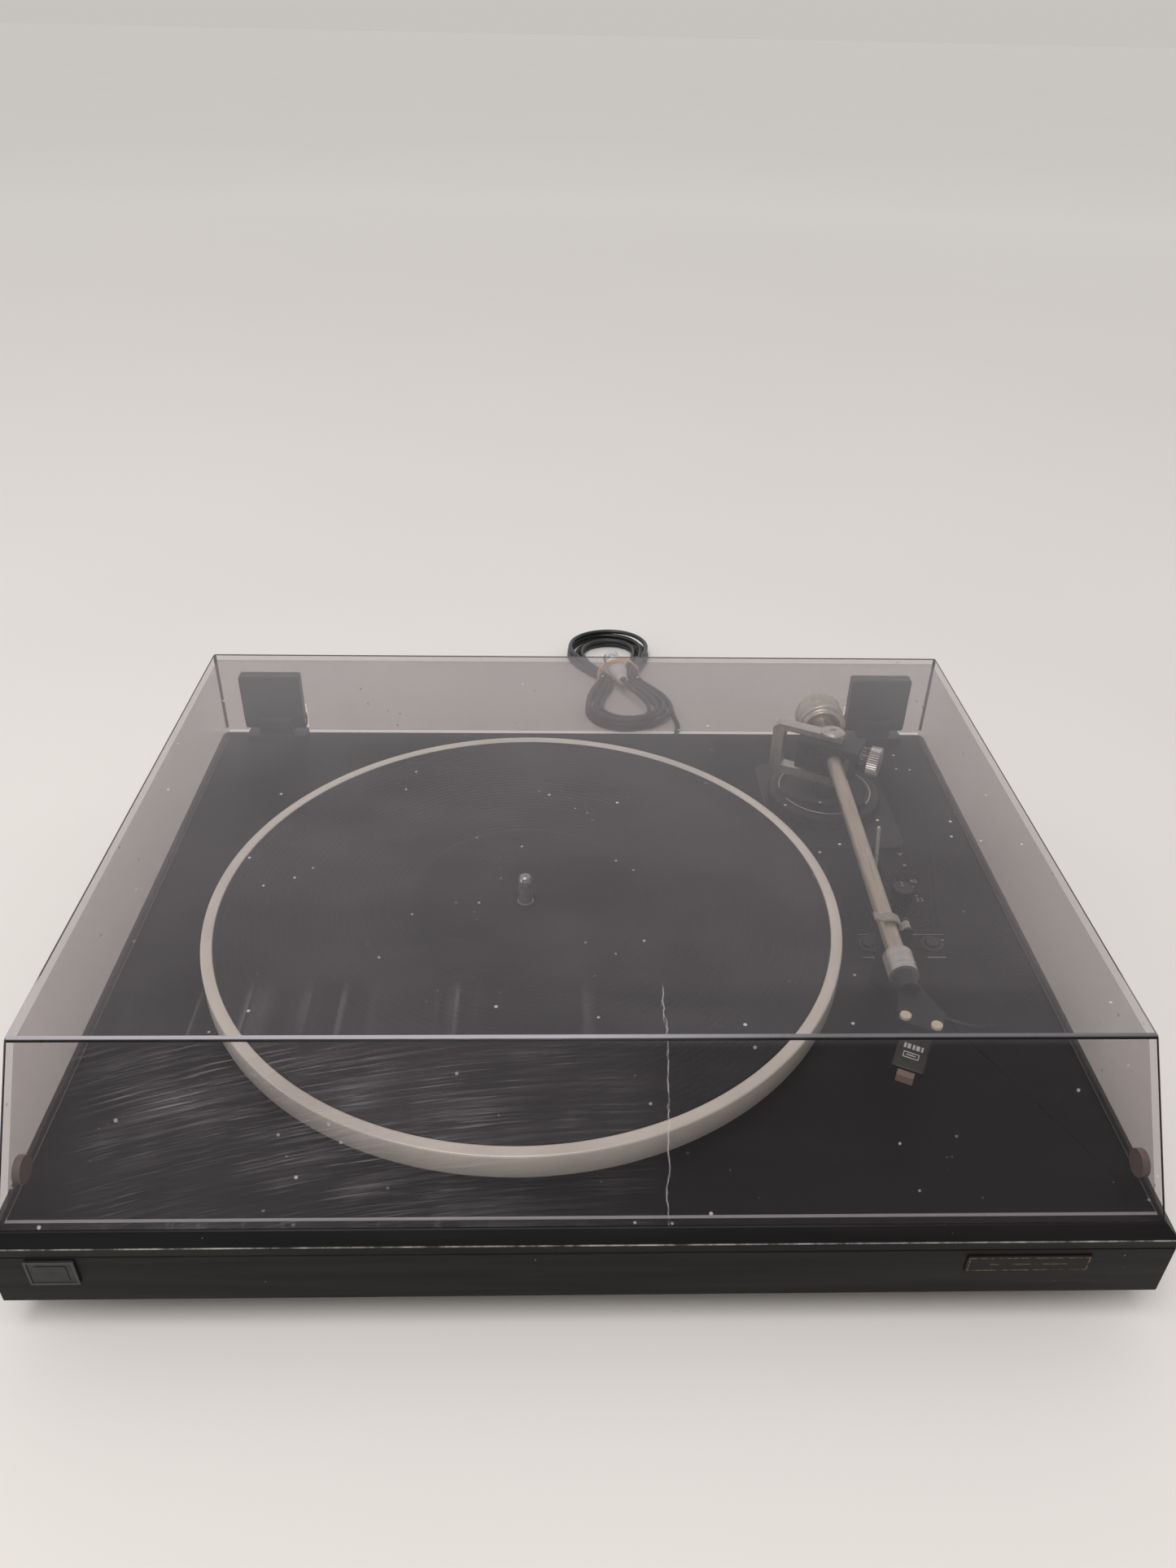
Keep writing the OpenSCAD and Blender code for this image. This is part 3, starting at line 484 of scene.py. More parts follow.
def lathe(name, profile, place, mats, sides=128, closed=True, wave=None):
    """Turns (radius, height) points round the place's Z axis; wave(step, radius, height) changes a radius"""
    verts, rings = [], []
    for r, h in profile:
        if r < 1e-6:
            rings.append([len(verts)] * sides)
            verts.append((0, 0, h * MM))
            continue
        rings.append(list(range(len(verts), len(verts) + sides)))
        for k in range(sides):
            a = 2 * pi * k / sides
            q = (wave(k, r, h) if wave else r) * MM
            verts.append((q * cos(a), q * sin(a), h * MM))
    faces = []
    pairs = list(zip(rings, rings[1:] + ([rings[0]] if closed else [])))
    for low, high in pairs:
        for k in range(sides):
            n = (k + 1) % sides
            face = [low[k], low[n], high[n], high[k]]
            face = [v for i, v in enumerate(face) if v not in face[:i]]
            if len(face) > 2:
                faces.append(face)
    return mesh_of(name, verts, faces, mats, place)


def prism(name, outline, h0, h1, place, mats):
    """Outline drawn up from h0 to h1"""
    n = len(outline)
    verts = [(x * MM, y * MM, h * MM) for h in (h0, h1) for x, y in outline]
    faces = [list(range(n))[::-1], list(range(n, 2 * n))]
    faces += [[k, (k + 1) % n, n + (k + 1) % n, n + k] for k in range(n)]
    return mesh_of(name, verts, faces, mats, place)


def block(name, low, high, place, mats):
    (x0, y0, z0), (x1, y1, z1) = low, high
    return prism(name, [(x0, y0), (x1, y0), (x1, y1), (x0, y1)], z0, z1, place, mats)


def joined(name, parts):
    """One object from several, each with its modifiers applied"""
    graph = bpy.context.evaluated_depsgraph_get()
    bpy.context.view_layer.update()
    whole, mats = bmesh.new(), []
    for part in parts:
        mesh = bpy.data.meshes.new_from_object(part.evaluated_get(graph))
        mesh.transform(part.matrix_world)
        for index, material in enumerate(mesh.materials):
            if material not in mats:
                mats.append(material)
        spots = [mats.index(material) for material in mesh.materials]
        for face in mesh.polygons:
            face.material_index = spots[face.material_index]
        whole.from_mesh(mesh)
        bpy.data.objects.remove(part)
    mesh = bpy.data.meshes.new(name)
    whole.to_mesh(mesh)
    whole.free()
    for material in mats:
        mesh.materials.append(material)
    made = bpy.data.objects.new(name, mesh)
    bpy.context.scene.collection.objects.link(made)
    return made


def curve(name, points, radius, mats, cyclic=False, sides=4):
    data = bpy.data.curves.new(name, "CURVE")
    data.dimensions = "3D"
    data.bevel_depth = radius
    data.bevel_resolution = sides
    data.use_fill_caps = True
    spline = data.splines.new("POLY")
    spline.points.add(len(points) - 1)
    for spot, p in zip(spline.points, points):
        spot.co = (*p, 1)
    spline.use_cyclic_u = cyclic
    spline.use_smooth = True
    made = bpy.data.objects.new(name, data)
    bpy.context.scene.collection.objects.link(made)
    data.materials.append(MATS[mats].mat)
    return made


def catmull(points, steps, closed=False):
    """Smooth line through the points"""
    pts = [Vector(p) for p in points]
    n = len(pts)
    out = []
    for i in range(n if closed else n - 1):
        if closed:
            a, b, c, d = (pts[(i + k) % n] for k in (-1, 0, 1, 2))
        else:
            a, b, c, d = (pts[min(max(i + k, 0), n - 1)] for k in (-1, 0, 1, 2))
        for s in range(steps):
            t = s / steps
            out.append(0.5 * ((2 * b) + (c - a) * t + (2 * a - 5 * b + 4 * c - d) * t * t
                              + (3 * b - a - 3 * c + d) * t ** 3))
    if not closed:
        out.append(pts[-1])
    return out


def even(points, step):
    """The same line with its points a step apart"""
    out, left = [points[0].copy()], step
    for a, b in zip(points, points[1:]):
        gap = (b - a).length
        while gap >= left and gap > 0:
            a = a + (b - a) * (left / gap)
            out.append(a.copy())
            gap = (b - a).length
            left = step
        left -= gap
    if (out[-1] - points[-1]).length > step / 3:
        out.append(points[-1].copy())
    return out


def piece(made, body, slot_name, *nodes):
    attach(made, body)
    if nodes:
        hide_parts(*nodes)
    return made


# Frames of the arm at its pivot, the gimbal and the head
PIVOT = Vector(JOINT["arm_swing"]["pos_m"])
ARM = Matrix.Translation(PIVOT) @ Matrix.Rotation(radians(-1.4), 4, "Z")
GIMBAL = Matrix.Translation(PIVOT) @ Matrix.Rotation(radians(-27), 4, "Z")
HEAD = ARM @ Matrix.Translation((0.0005, -0.2105, 0)) @ Matrix.Rotation(radians(-25), 4, "Z")
ALONG_ARM = ARM @ Matrix.Rotation(radians(90), 4, "X")     # its Z runs to the arm's front
CENTRE = Vector(JOINT["platter_spin"]["pos_m"])
PLATTER = Matrix.Translation((CENTRE.x, CENTRE.y, 0))

# ---------- signal lead ----------

LEAD_R = 1.7
LEAD = [(62, 186, 31), (62, 194, 31), (62, 203, 29.5), (62, 211, 25), (62, 217, 18),
        (62, 222, 10), (62.2, 228, 4.5), (63.4, 236, 2), (66, 245, 1.8), (69.8, 254, 1.8),
        (73.2, 263, 1.9), (75.4, 274, 2.3), (74.1, 286, 2.3)]
HANK = Matrix.Translation((0.035, 0.342, 0)) @ Matrix.Rotation(radians(8), 4, "Z")
HANK_LOW = 2.3       # centre of the lowest turns
LAYER = 3.5
NEST = 3.75
# quarter of the outer turn, from the widest place at the front to the waist
QUARTER = [(31, -48), (29.5, -36), (24, -23), (16, -10), (12.9, 0)]
NOSE = [(0, -73.2), (15, -70), (26, -61)]


def turn_line():
    """Outer turn in the hank's frame, from its widest place at the front right, anticlockwise"""
    right = QUARTER + [(x, -y) for x, y in QUARTER[-2::-1]] + [(x, -y) for x, y in NOSE[::-1]]
    left = [(-x, -y) for x, y in right]
    nose = [(-x, -y) for x, y in NOSE[1:]]
    return catmull([(x, y, 0) for x, y in right + nose + left + NOSE[1:]], 14, closed=True)


def inward(loop, amounts):
    """Each point moved inward by its own amount"""
    n = len(loop)
    out = []
    for i, p in enumerate(loop):
        t = (loop[(i + 1) % n] - loop[i - 1]).normalized()
        out.append(p + Vector((-t.y, t.x, 0)) * amounts[i])
    return out


def ease(t):
    t = min(max(t, 0), 1)
    return t * t * (3 - 2 * t)


# each turn: its nesting before and after, the share of the turn where that changes, then the same for
# its layer
TURNS = [(0, 1, 0.84, 0, 0, 0), (1, 2, 0.84, 0, 0, 0), (2, 2, 0, 0, 1, 0.66), (2, 1, 0.46, 1, 1, 0),
         (1, 0, 0.26, 1, 1, 0), (0, 0, 0, 1, 2, 0.06)]
# how far each turn lies inside its place at the ends of the hank, in mm
LOOSE = [0, 1.35, 0.45, 1.05, 0.15, 0.75]


def lead_path():
    """From the plinth to the hank, six turns in three layers, then into the plug"""
    loop = turn_line()
    n = len(loop)
    change = 0.16           # share of a turn that a change of nesting or layer takes
    last_share = 0.86       # of the last turn, before it leaves for the plug
    spread = [ease(abs(p.y) / 45) for p in loop]
    line = [Vector(p) * MM for p in LEAD]
    for number, (nest0, nest1, nest_at, layer0, layer1, layer_at) in enumerate(TURNS):
        nests = [nest0 + (nest1 - nest0) * ease((i / n - nest_at) / change) for i in range(n)]
        layers = [layer0 + (layer1 - layer0) * ease((i / n - layer_at) / change) for i in range(n)]
        steps = [NEST * k * (1 + 0.3 * w) + LOOSE[number] * w for k, w in zip(nests, spread)]
        moved = inward(loop, steps)
        for i in range(n if number < len(TURNS) - 1 else int(n * last_share)):
            p = moved[i].copy()
            p.z = HANK_LOW + LAYER * layers[i]
            line.append(HANK @ (p * MM))
    top = HANK_LOW + 2 * LAYER
    ending = [(-5, -72.4, top), (2.5, -71.2, top + 0.2), (8.8, -67, top + 0.5), (12, -60, top + 0.9),
              (11.8, -51, top + 1.4), (8.4, -41, top + 2.2), (4, -31, top + 3.1), (1, -22, top + 3.7),
              (0.2, -16, top + 3.7)]
    keys = [HANK.inverted() @ p / MM for p in line[-1:]] + [Vector(p) for p in ending]
    line += [HANK @ (p * MM) for p in catmull(keys, 8)[1:]]
    head = catmull(line[: len(LEAD) + 1], 10)
    return even(head + line[len(LEAD) + 1:], 0.0045)


lead_line = lead_path()
lead = curve("signal_lead_coiled", lead_line, LEAD_R * MM, "lead_black", sides=3)
piece(lead, "plinth", "lead_black", "signal_lead", "lead_hank")

PLUG_Z = 13        # height of the plug's axis over the floor, mm
PLUG = HANK @ Matrix.Translation((0, -0.019, PLUG_Z * MM)) \
    @ Matrix.Rotation(radians(4), 4, "Z") @ Matrix.Rotation(radians(-90), 4, "X")
plug_body = lathe("plug_body", [
    (2.0, 0.2), (3.4, 0), (3.9, 0.6), (4.0, 3), (3.6, 3.4), (3.6, 4.2), (4.4, 4.6), (4.4, 6),
    (4.0, 6.4), (4.0, 7.2), (5.0, 7.7), (5.6, 9.5), (6.5, 13), (6.75, 17), (6.75, 27), (6.3, 27.6),
    (2, 27.6)], PLUG, "plug_white", 48)
plug_ring = lathe("plug_ring", [
    (6.15, 26.5), (6.15, 37.4), (5.9, 37.8), (5.5, 37.8), (5.5, 29.6), (0.01, 29.6), (0.01, 26.5)],
    PLUG, "steel", 48)
plug_parts = [plug_body, plug_ring]
for k in range(5):
    a = radians(45 * (k + 2))
    at = PLUG @ Matrix.Translation((3.4 * MM * cos(a), 3.4 * MM * sin(a), 0))
    plug_parts.append(lathe(f"plug_pin_{k}", [(0, 29), (0.75, 29), (0.75, 36), (0.4, 36.6), (0, 36.6)],
                            at, "steel", 12, closed=False))
plug = joined("signal_plug_round", plug_parts)
piece(plug, "plinth", "plug_white", "signal_plug")


def band_line(y, sag, phase):
    """Closed loop tight round the waist of the hank and the plug"""
    shape = [(-15.4, 3), (-13.4, 0.7), (0, 0.7), (13.4, 0.7), (15.5, 4), (15.4, 10.8), (12.6, 14.4),
             (7.2, 19.2), (0, 20.8), (-7.2, 19.2), (-12.6, 14.4), (-15.4, 10.8), (-15.5, 4)]
    pts = [(x, y + 0.08 * x + sag * sin(0.35 * i + phase), z) for i, (x, z) in enumerate(shape)]
    pts = [(x * (1 + 0.0022 * y * y), y, z) for x, y, z in pts]
    return [HANK @ (p * MM) for p in catmull(pts, 8, closed=True)]


bands = [curve(f"band_{k}", band_line(y, sag, ph), 0.65 * MM, "band", True, 2)
         for k, (y, sag, ph) in enumerate([(-2.8, 1.2, 0), (0.2, -1.4, 0.5), (2.8, 1.1, 2.2)])]
band = joined("rubber_band", bands)
piece(band, "plinth", "amber_rubber")


# ---------- cover ----------

def near(a, b, slack=2e-4):
    return abs(a - b) < slack


def build_cover():
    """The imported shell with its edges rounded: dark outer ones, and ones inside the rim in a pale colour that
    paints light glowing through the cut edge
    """
    low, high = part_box("dust_cover")
    shell = bmesh.new()
    shell.from_mesh(NODE["dust_cover"].data)
    bmesh.ops.remove_doubles(shell, verts=shell.verts, dist=1e-6)
    bmesh.ops.dissolve_limit(shell, angle_limit=radians(0.5), verts=shell.verts, edges=shell.edges)
    bmesh.ops.recalc_face_normals(shell, faces=shell.faces)

    def outer(face):
        n, c = face.normal, face.calc_center_median()
        flat = near(abs(c.x), high.x) or near(c.y, high.y) or near(c.z, high.z)
        slanted = n.y < -0.3 and n.z > 0.3
        return flat or slanted

    def rim(face):
        return face.normal.z < -0.9 and face.calc_center_median().z < low.z + 0.005

    edges = [e for e in shell.edges if len(e.link_faces) == 2 and e.calc_face_angle(0) > 0.3]
    dark = [e for e in edges if all(outer(f) for f in e.link_faces)]
    light = [e for e in edges if any(rim(f) for f in e.link_faces)
             and not any(outer(f) for f in e.link_faces) and e.calc_length() > 0.05]
    bmesh.ops.bevel(shell, geom=dark, offset=0.0014, segments=3, profile=0.5, affect="EDGES", material=1)
    light = [e for e in light if e.is_valid]
    # edges inside the rim: a pale colour painted as light glowing through the cut edge
    bmesh.ops.bevel(shell, geom=light, offset=0.0006, segments=2, profile=0.5, affect="EDGES", material=2)
    mesh = bpy.data.meshes.new("cover_shell")
    shell.to_mesh(mesh)
    shell.free()
    made = link("cover_shell", mesh, ["smoked_acrylic", "dark_edge", "painted_glow_edge"])
    mesh.set_sharp_from_angle(angle=radians(25))
    return made


piece(build_cover(), "cover", "smoked_acrylic", "dust_cover")

# ---------- platter and mat ----------

low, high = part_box("platter")
top_mm, foot_mm = high.z / MM, low.z / MM
rim_r = (high.x - low.x) / 2 / MM
seat_r = rim_r - 5.5
seat_mm = top_mm - 2.5
platter = lathe("platter_turned", [
    (4, top_mm - 5), (seat_r, top_mm - 5), (seat_r, foot_mm), (rim_r - 0.7, foot_mm),
    (rim_r - 0.2, foot_mm + 0.2), (rim_r, foot_mm + 0.7), (rim_r, top_mm - 0.9),
    (rim_r - 0.15, top_mm - 0.4), (rim_r - 0.45, top_mm - 0.1), (rim_r - 0.9, top_mm),
    (seat_r + 0.7, top_mm), (seat_r + 0.2, top_mm - 0.15), (seat_r, top_mm - 0.6),
    (seat_r, seat_mm), (4, seat_mm)], PLATTER, "platter_metal", 256)
piece(platter, "platter", "platter_metal", "platter")

mat_low, mat_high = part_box("platter_mat")
mat_r = (mat_high.x - mat_low.x) / 2 / MM
face_mm = mat_high.z / MM
LABEL_R = 52
GROOVES, GROOVE_STEP = 30, 2.9
profile = [(4.3, seat_mm), (mat_r, seat_mm), (mat_r, face_mm - 0.4), (mat_r - 0.4, face_mm)]
for k in range(GROOVES):
    r = mat_r - 3.2 - GROOVE_STEP * k
    profile += [(r + 0.35, face_mm), (r, face_mm - 0.22), (r - 0.35, face_mm)]
profile += [(LABEL_R + 0.5, face_mm), (LABEL_R, face_mm - 0.5), (8, face_mm - 0.5), (4.3, face_mm - 0.7)]
piece(lathe("mat_grooved", profile, PLATTER, "mat_rubber", 160), "platter", "mat_rubber", "platter_mat")

# ---------- tonearm ----------

low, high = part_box("side_force_ring")
ring_at = Matrix.Translation((PIVOT.x, PIVOT.y, 0))
base_mm, lip_mm = low.z / MM, high.z / MM
RIBS, RIB_STEPS = 66, 6


def ribs(step, r, h):
    """Radius of the dial's outside, with a rounded dent between ribs"""
    depth = 0.9 if r > 31 and base_mm + 0.8 < h < lip_mm - 0.8 else 0
    return r - depth * (0.5 - 0.5 * cos(2 * pi * (step % RIB_STEPS) / RIB_STEPS)) ** 0.7


ring = lathe("side_force_dial", [
    (23.2, base_mm), (31.4, base_mm), (31.8, base_mm + 0.4), (31.9, base_mm + 1.2), (31.9, lip_mm - 2.2),
    (31.2, lip_mm - 1.2), (29.8, lip_mm - 0.5), (28.6, lip_mm), (24.6, lip_mm), (24.2, lip_mm - 0.3),
    (23.2, lip_mm - 0.4)], ring_at, "black_plastic", RIBS * RIB_STEPS, wave=ribs)
line_ring = lathe("side_force_line", [
    (25.4, lip_mm - 0.2), (26.1, lip_mm - 0.2), (26.1, lip_mm + 0.05), (25.4, lip_mm + 0.05)],
    ring_at, "silver", 96)
side_dial = joined("side_force_dial_whole", [ring, line_ring])
piece(side_dial, "side_force_ring", "black_plastic", "side_force_ring")

BACK = ARM @ Matrix.Rotation(radians(-90), 4, "X")
weight = lathe("counterweight_turned", [
    (4.2, 24), (10.4, 24), (11, 24.3), (11.2, 25), (11.2, 26.6), (12.7, 26.8), (13.3, 27.2), (13.5, 27.8),
    (13.5, 31.4), (13.1, 31.7), (13.1, 32.5), (13.5, 32.8), (13.5, 41.6), (13.3, 42.3), (12.6, 42.8),
    (9.2, 43), (8.9, 43.2), (8.8, 48), (8.3, 48.7), (7.4, 49), (4.2, 49)], BACK, "tube_metal", 96)
piece(weight, "counterweight", "tube_metal", "counterweight")

finger = curve("finger_lift_curved", [HEAD @ (Vector(p) * MM) for p in catmull([
    (8.3, 7.5, -0.2), (11, 7.5, -0.2), (15, 7.5, -0.1), (19, 7.4, 0.3), (22.5, 7.2, 1.4), (25, 6.9, 3.2),
    (26.3, 6.6, 5)], 6)], 0.85 * MM, "black_metal")
piece(finger, "arm", "steel", "finger_lift")


MARK_H = 0.08        # thickness of a printed mark, mm


def label_marks():
    """Generic pale marks on the cartridge's nose: five short bars and a small frame, no lettering"""
    parts = []
    slope = atan2(4.6, 12)
    nose = HEAD @ Matrix.Translation((0, -14 * MM, -4.9 * MM)) @ Matrix.Rotation(slope, 4, "X")
    for k, (x, w) in enumerate([(-3.2, 1.0), (-1.6, 1.3), (0.2, 1.0), (1.9, 1.5), (3.6, 0.8)]):
        parts.append(block(f"mark_{k}", (x - w / 2, 2.4, 0), (x + w / 2, 4.6, MARK_H), nose, "pale_mark"))
    bars = [(-3.2, 3.2, -1.6, -1.2), (-3.2, 3.2, 0.6, 1.0), (-3.2, -2.8, -1.2, 0.6),
            (2.8, 3.2, -1.2, 0.6), (-1.9, 1.9, -0.5, 0)]
    for k, (x0, x1, y0, y1) in enumerate(bars):
        parts.append(block(f"frame_{k}", (x0, y0, 0), (x1, y1, MARK_H), nose, "pale_mark"))
    return joined("cartridge_marks", parts)


piece(label_marks(), "arm", "cream")

# ---------- deck marks and trims ----------

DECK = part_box("top_board")[1].z


def digits(text, x, y):
    """Flat printed number on the deck"""
    data = bpy.data.curves.new("digits", "FONT")
    data.body = text
    data.size = 0.0042
    data.extrude = 0.00003
    data.align_x, data.align_y = "CENTER", "CENTER"
    made = bpy.data.objects.new("digits", data)
    made.matrix_world = Matrix.Translation((x * MM, y * MM, DECK + 0.00004))
    bpy.context.scene.collection.objects.link(made)
    data.materials.append(MATS["mark"].mat)
    return made


def deck_marks():
    """Marks printed on the deck: arrows, the two speeds, dots, bars and ticks"""
    parts = []
    here = Matrix.Translation((0, 0, DECK))

    def bar(name, x0, x1, y0, y1):
        parts.append(block(name, (x0, y0, 0), (x1, y1, MARK_H), here, "mark"))

    arrow_x = 173.7
    for k, (y, up) in enumerate([(51.9, -1), (42.5, 1)]):
        outline = [(arrow_x - 1.5, y - 1.1 * up), (arrow_x + 1.5, y - 1.1 * up), (arrow_x, y + 1.3 * up)]
        parts.append(prism(f"arrow_{k}", outline[::up], 0, MARK_H, here, "mark"))
    parts.append(digits("45", 174.8, 28.5))
    parts.append(digits("33", 174.1, 13.1))
    dot_x, dot_r = 173.4, 0.6
    for k, y in enumerate([23.8, 16.4]):
        outline = [(dot_x + dot_r * cos(a / 8 * pi), y + dot_r * sin(a / 8 * pi)) for a in range(16)]
        parts.append(prism(f"dot_{k}", outline, 0, MARK_H, here, "mark"))
    for k, x in enumerate([139.8, 171]):
        bar(f"bar_{k}", x - 4.5, x + 4.5, -30.6, -29.8)
    bar("rule", 136, 179, -13.9, -13.55)
    for k in range(9):
        bar(f"tick_{k}", 173.2, 174.9 if k % 4 else 176, 58.5 + 3.2 * k, 58.8 + 3.2 * k)
    return joined("deck_marks", parts)


piece(deck_marks(), "plinth", "cream")


def trims():
    """Bezels of the two buttons, and a blanking cap at the back"""
    parts = []
    for k, node in enumerate(["start_button", "stop_button"]):
        low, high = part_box(node)
        at = Matrix.Translation(((low.x + high.x) / 2, (low.y + high.y) / 2, DECK))
        parts.append(lathe(f"bezel_{k}", [
            (3.5, 0), (5.6, 0), (5.6, 0.5), (5.3, 0.9), (4.7, 1.1), (3.9, 1.0), (3.5, 0.6)],
            at, "black_plastic", 48))
    cap_at, cap_r = Matrix.Translation((0.1167, 0.1386, DECK)), 4.2
    parts.append(lathe("cap", [(0, 0.9), (cap_r - 1, 0.8), (cap_r - 0.3, 0.5), (cap_r, 0), (0, 0)],
                       cap_at, "black_plastic", 32, closed=False))
    return joined("deck_trims", parts)


piece(trims(), "plinth", "black_plastic")

low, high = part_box("speed_knob")
mid = (low + high) / 2
knob_top = Matrix.Translation((mid.x, mid.y, high.z))
pointer = block("knob_pointer", (-0.35, 0.6, 0), (0.35, 4.6, 0.12), knob_top, "mark")
piece(pointer, "speed_knob", "cream")

DIAL_R = 7        # where the force dial's scale sits, mm from its axis
scale_marks = []
for k in range(9):
    tilt = GIMBAL @ Matrix.Rotation(radians(-80 + 20 * k), 4, "X") @ Matrix.Translation((0, 0, DIAL_R * MM))
    end = 21.6 if k % 3 == 0 else 20
    scale_marks.append(block(f"mark_{k}", (18.2, -0.12, 0), (end, 0.12, 0.06), tilt, "pale_mark"))
piece(joined("force_scale", scale_marks), "arm_swing", "cream")

# ---------- front badge ----------

low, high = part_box("badge")
mid = (low + high) / 2
FRONT = Matrix.Translation((mid.x, low.y, mid.z)) @ Matrix.Rotation(radians(90), 4, "X")
half_w, half_h = (high.x - low.x) / 2 / MM, (high.z - low.z) / 2 / MM


def frame_of(name, w, h, wide, t0, t1, place, mats):
    """Rectangular picture frame, with half sizes w and h"""
    out = [(-w, -h), (w, -h), (w, h), (-w, h)]
    inner = [(-w + wide, -h + wide), (w - wide, -h + wide), (w - wide, h - wide), (-w + wide, h - wide)]
    verts = [(x * MM, y * MM, t * MM) for t in (t0, t1) for loop in (out, inner) for x, y in loop]
    faces = []
    for k in range(4):
        n = (k + 1) % 4
        faces += [[k, n, 4 + n, 4 + k][::-1], [8 + k, 8 + n, 12 + n, 12 + k], [k, n, 8 + n, 8 + k],
                  [4 + k, 4 + n, 12 + n, 12 + k][::-1]]
    return mesh_of(name, verts, faces, mats, place)


badge = bevelled(frame_of("badge_frame", half_w, half_h, 1.0, -0.3, 0.35, FRONT, "badge_rim"), 0.00015)
pad_w, pad_h = half_w - 3.4, half_h - 2.6
pad = bevelled(block("badge_pad", (-pad_w, -pad_h, 0), (pad_w, pad_h, 0.25), FRONT, "badge_dark"), 0.00012)
piece(joined("badge_blank", [badge, pad]), "plinth", "badge_dark")

# ---------- strain relief ----------

low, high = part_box("lead_gland")
y0, y1 = low.y / MM, 199.0        # the relief's inner and outer ends
wall_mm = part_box("plinth_frame")[1].y / MM
mid = (low + high) / 2
GLAND = Matrix.Translation((mid.x, 0, mid.z)) @ Matrix.Rotation(radians(-90), 4, "X")
profile = [(1.75, y0), (5.9, y0), (5.9, wall_mm), (6.6, wall_mm), (6.6, wall_mm + 1.6), (5.2, wall_mm + 2)]
for k in range(5):
    y = wall_mm + 2.2 + 2.9 * k
    r = 4.6 - 0.5 * k
    profile += [(r, y), (r - 0.1, y + 1.9), (r - 0.9, y + 2.1), (r - 0.95, y + 2.8)]
profile += [(2.2, y1 - 0.4), (1.75, y1)]
piece(lathe("strain_relief", profile, GLAND, "lead_black", 40), "plinth", "lead_black", "lead_gland")

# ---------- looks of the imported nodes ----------

EDGE_MM = {
    "plinth_frame": 0.6, "top_board": 0.6, "base_board": 0.8, "feet": 0.8, "badge": 0.2, "nameplate": 0.2,
    "hinge_leaves": 0.9, "hinge_bases": 0.5, "cover_bumpers": 0.6, "spindle": 0.15, "motor_body": 0.5,
    "arm_base_plate": 0.4, "gimbal_bracket": 0.7, "gimbal_yoke": 0.6, "force_dial": 0.15, "arm_rest": 0.4,
    "rest_clip": 0.2, "head_collar": 0.4, "headshell": 0.5, "cartridge": 0.6, "stylus": 0.3, "cue_lift": 0.4,
    "speed_knob": 0.15, "start_button": 0.3, "stop_button": 0.3,
}
PLAIN_EDGE_MM = 0.25
for row in frame["record"]["subparts"]:
    made = NODE[row["node"]]
    if made.hide_render:
        continue
    mesh = made.data
    mesh.materials.clear()
    look_name = "knurled_dial" if row["node"] == "force_dial" else row["material_slot"]
    mesh.materials.append(MATS[look_name].mat)
    if "custom_normal" in mesh.attributes:
        mesh.attributes.remove(mesh.attributes["custom_normal"])
    mesh.shade_smooth()
    mesh.polygons.foreach_set("material_index", [0] * len(mesh.polygons))
    bevelled(made, EDGE_MM.get(row["node"], PLAIN_EDGE_MM) * MM, weld=True)

# ---------- floor and light ----------

FLOOR = 60        # half of its side
corners = [(-FLOOR, -FLOOR, 0), (FLOOR, -FLOOR, 0), (FLOOR, FLOOR, 0), (-FLOOR, FLOOR, 0)]
floor_mesh = bpy.data.meshes.new("floor")
floor_mesh.from_pydata(corners, [], [(0, 1, 2, 3)])
floor = bpy.data.objects.new("floor", floor_mesh)
bpy.context.scene.collection.objects.link(floor)
paper = Mat("floor_paper", lin(208, 205, 197), 0.85, Specular_IOR_Level=0.2)
# painted light: the floor is coloured lighter far from the player, where less lamp light reaches it
near_tone = paper.mix(paper.noise(paper.coords(), 3, 4), lin(210, 206, 202), lin(215, 211, 207))
painted_far_light = paper.mix(paper.noise(paper.coords(), 1.5, 3), lin(243, 239, 234), lin(246, 242, 237))
paper.color(paper.mix(paper.span(radius_from(paper, (0, 0)), 0.55, 3.2), near_tone, painted_far_light))
floor_mesh.materials.append(paper.mat)

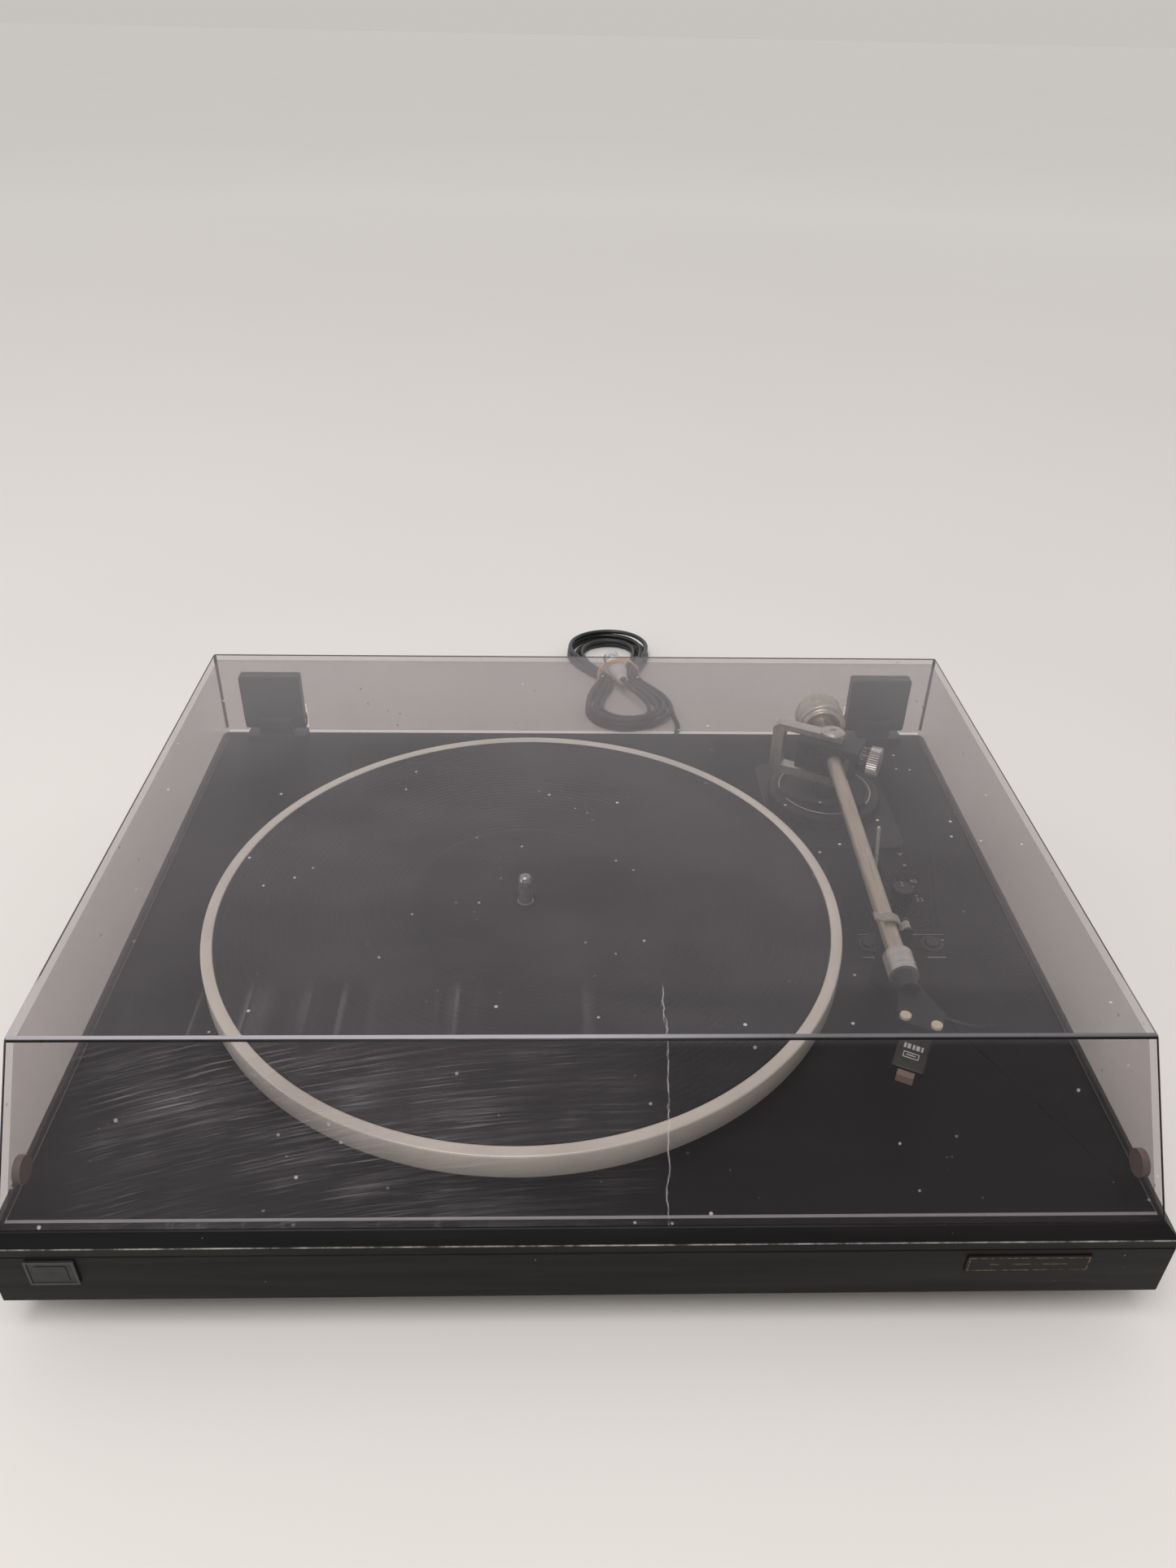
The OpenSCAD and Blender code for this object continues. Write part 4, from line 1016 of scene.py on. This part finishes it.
world = bpy.data.worlds.new("studio")
bpy.context.scene.world = world
world.use_nodes = True
bpy.context.scene.view_settings.view_transform = "Standard"
tree = world.node_tree
sky = tree.nodes["Background"]
sky.inputs["Color"].default_value = (0.86, 0.85, 0.84, 1)
way = tree.nodes.new("ShaderNodeSeparateXYZ")
tree.links.new(tree.nodes.new("ShaderNodeTexCoord").outputs["Generated"], way.inputs[0])


def sky_ramp(axis, low, high, to_low, to_high):
    made = tree.nodes.new("ShaderNodeMapRange")
    made.interpolation_type = "SMOOTHSTEP"
    tree.links.new(way.outputs[axis], made.inputs["Value"])
    for key, value in zip(("From Min", "From Max", "To Min", "To Max"), (low, high, to_low, to_high)):
        made.inputs[key].default_value = value
    return made.outputs["Result"]


# brighter low down behind the player, as a pale wall is, and darker overhead and in front
shade = tree.nodes.new("ShaderNodeMath")
shade.operation = "MULTIPLY"
tree.links.new(sky_ramp("Y", -0.7, 0.75, 0.5, 1.36), shade.inputs[0])
tree.links.new(sky_ramp("Z", 0.3, 0.95, 1, 0.62), shade.inputs[1])
tree.links.new(shade.outputs[0], sky.inputs["Strength"])
# what the camera sees past the floor's far end is the floor's own tone
beyond = tree.nodes.new("ShaderNodeBackground")
beyond.inputs["Color"].default_value = lin(198, 195, 190)
rays = tree.nodes.new("ShaderNodeLightPath")
either = tree.nodes.new("ShaderNodeMixShader")
tree.links.new(rays.outputs["Is Camera Ray"], either.inputs[0])
tree.links.new(sky.outputs[0], either.inputs[1])
tree.links.new(beyond.outputs[0], either.inputs[2])
tree.links.new(either.outputs[0], tree.nodes["World Output"].inputs["Surface"])


def softbox(name, at, aim, size, power, tint=(1, 1, 1)):
    data = bpy.data.lights.new(name, "AREA")
    data.shape = "RECTANGLE"
    data.size, data.size_y = size
    data.energy = power
    data.color = tint
    made = bpy.data.objects.new(name, data)
    way = (Vector(aim) - Vector(at)).to_track_quat("-Z", "Y")
    made.matrix_world = Matrix.Translation(at) @ way.to_matrix().to_4x4()
    bpy.context.scene.collection.objects.link(made)


softbox("low", (-2.4, -0.9, 0.6), (0, 0, 0.05), (1.0, 0.8), 12, (1, 0.99, 0.98))
softbox("key", (-0.25, -0.75, 2.1), (0, 0, 0.05), (1.3, 1.3), 34, (1, 0.985, 0.97))
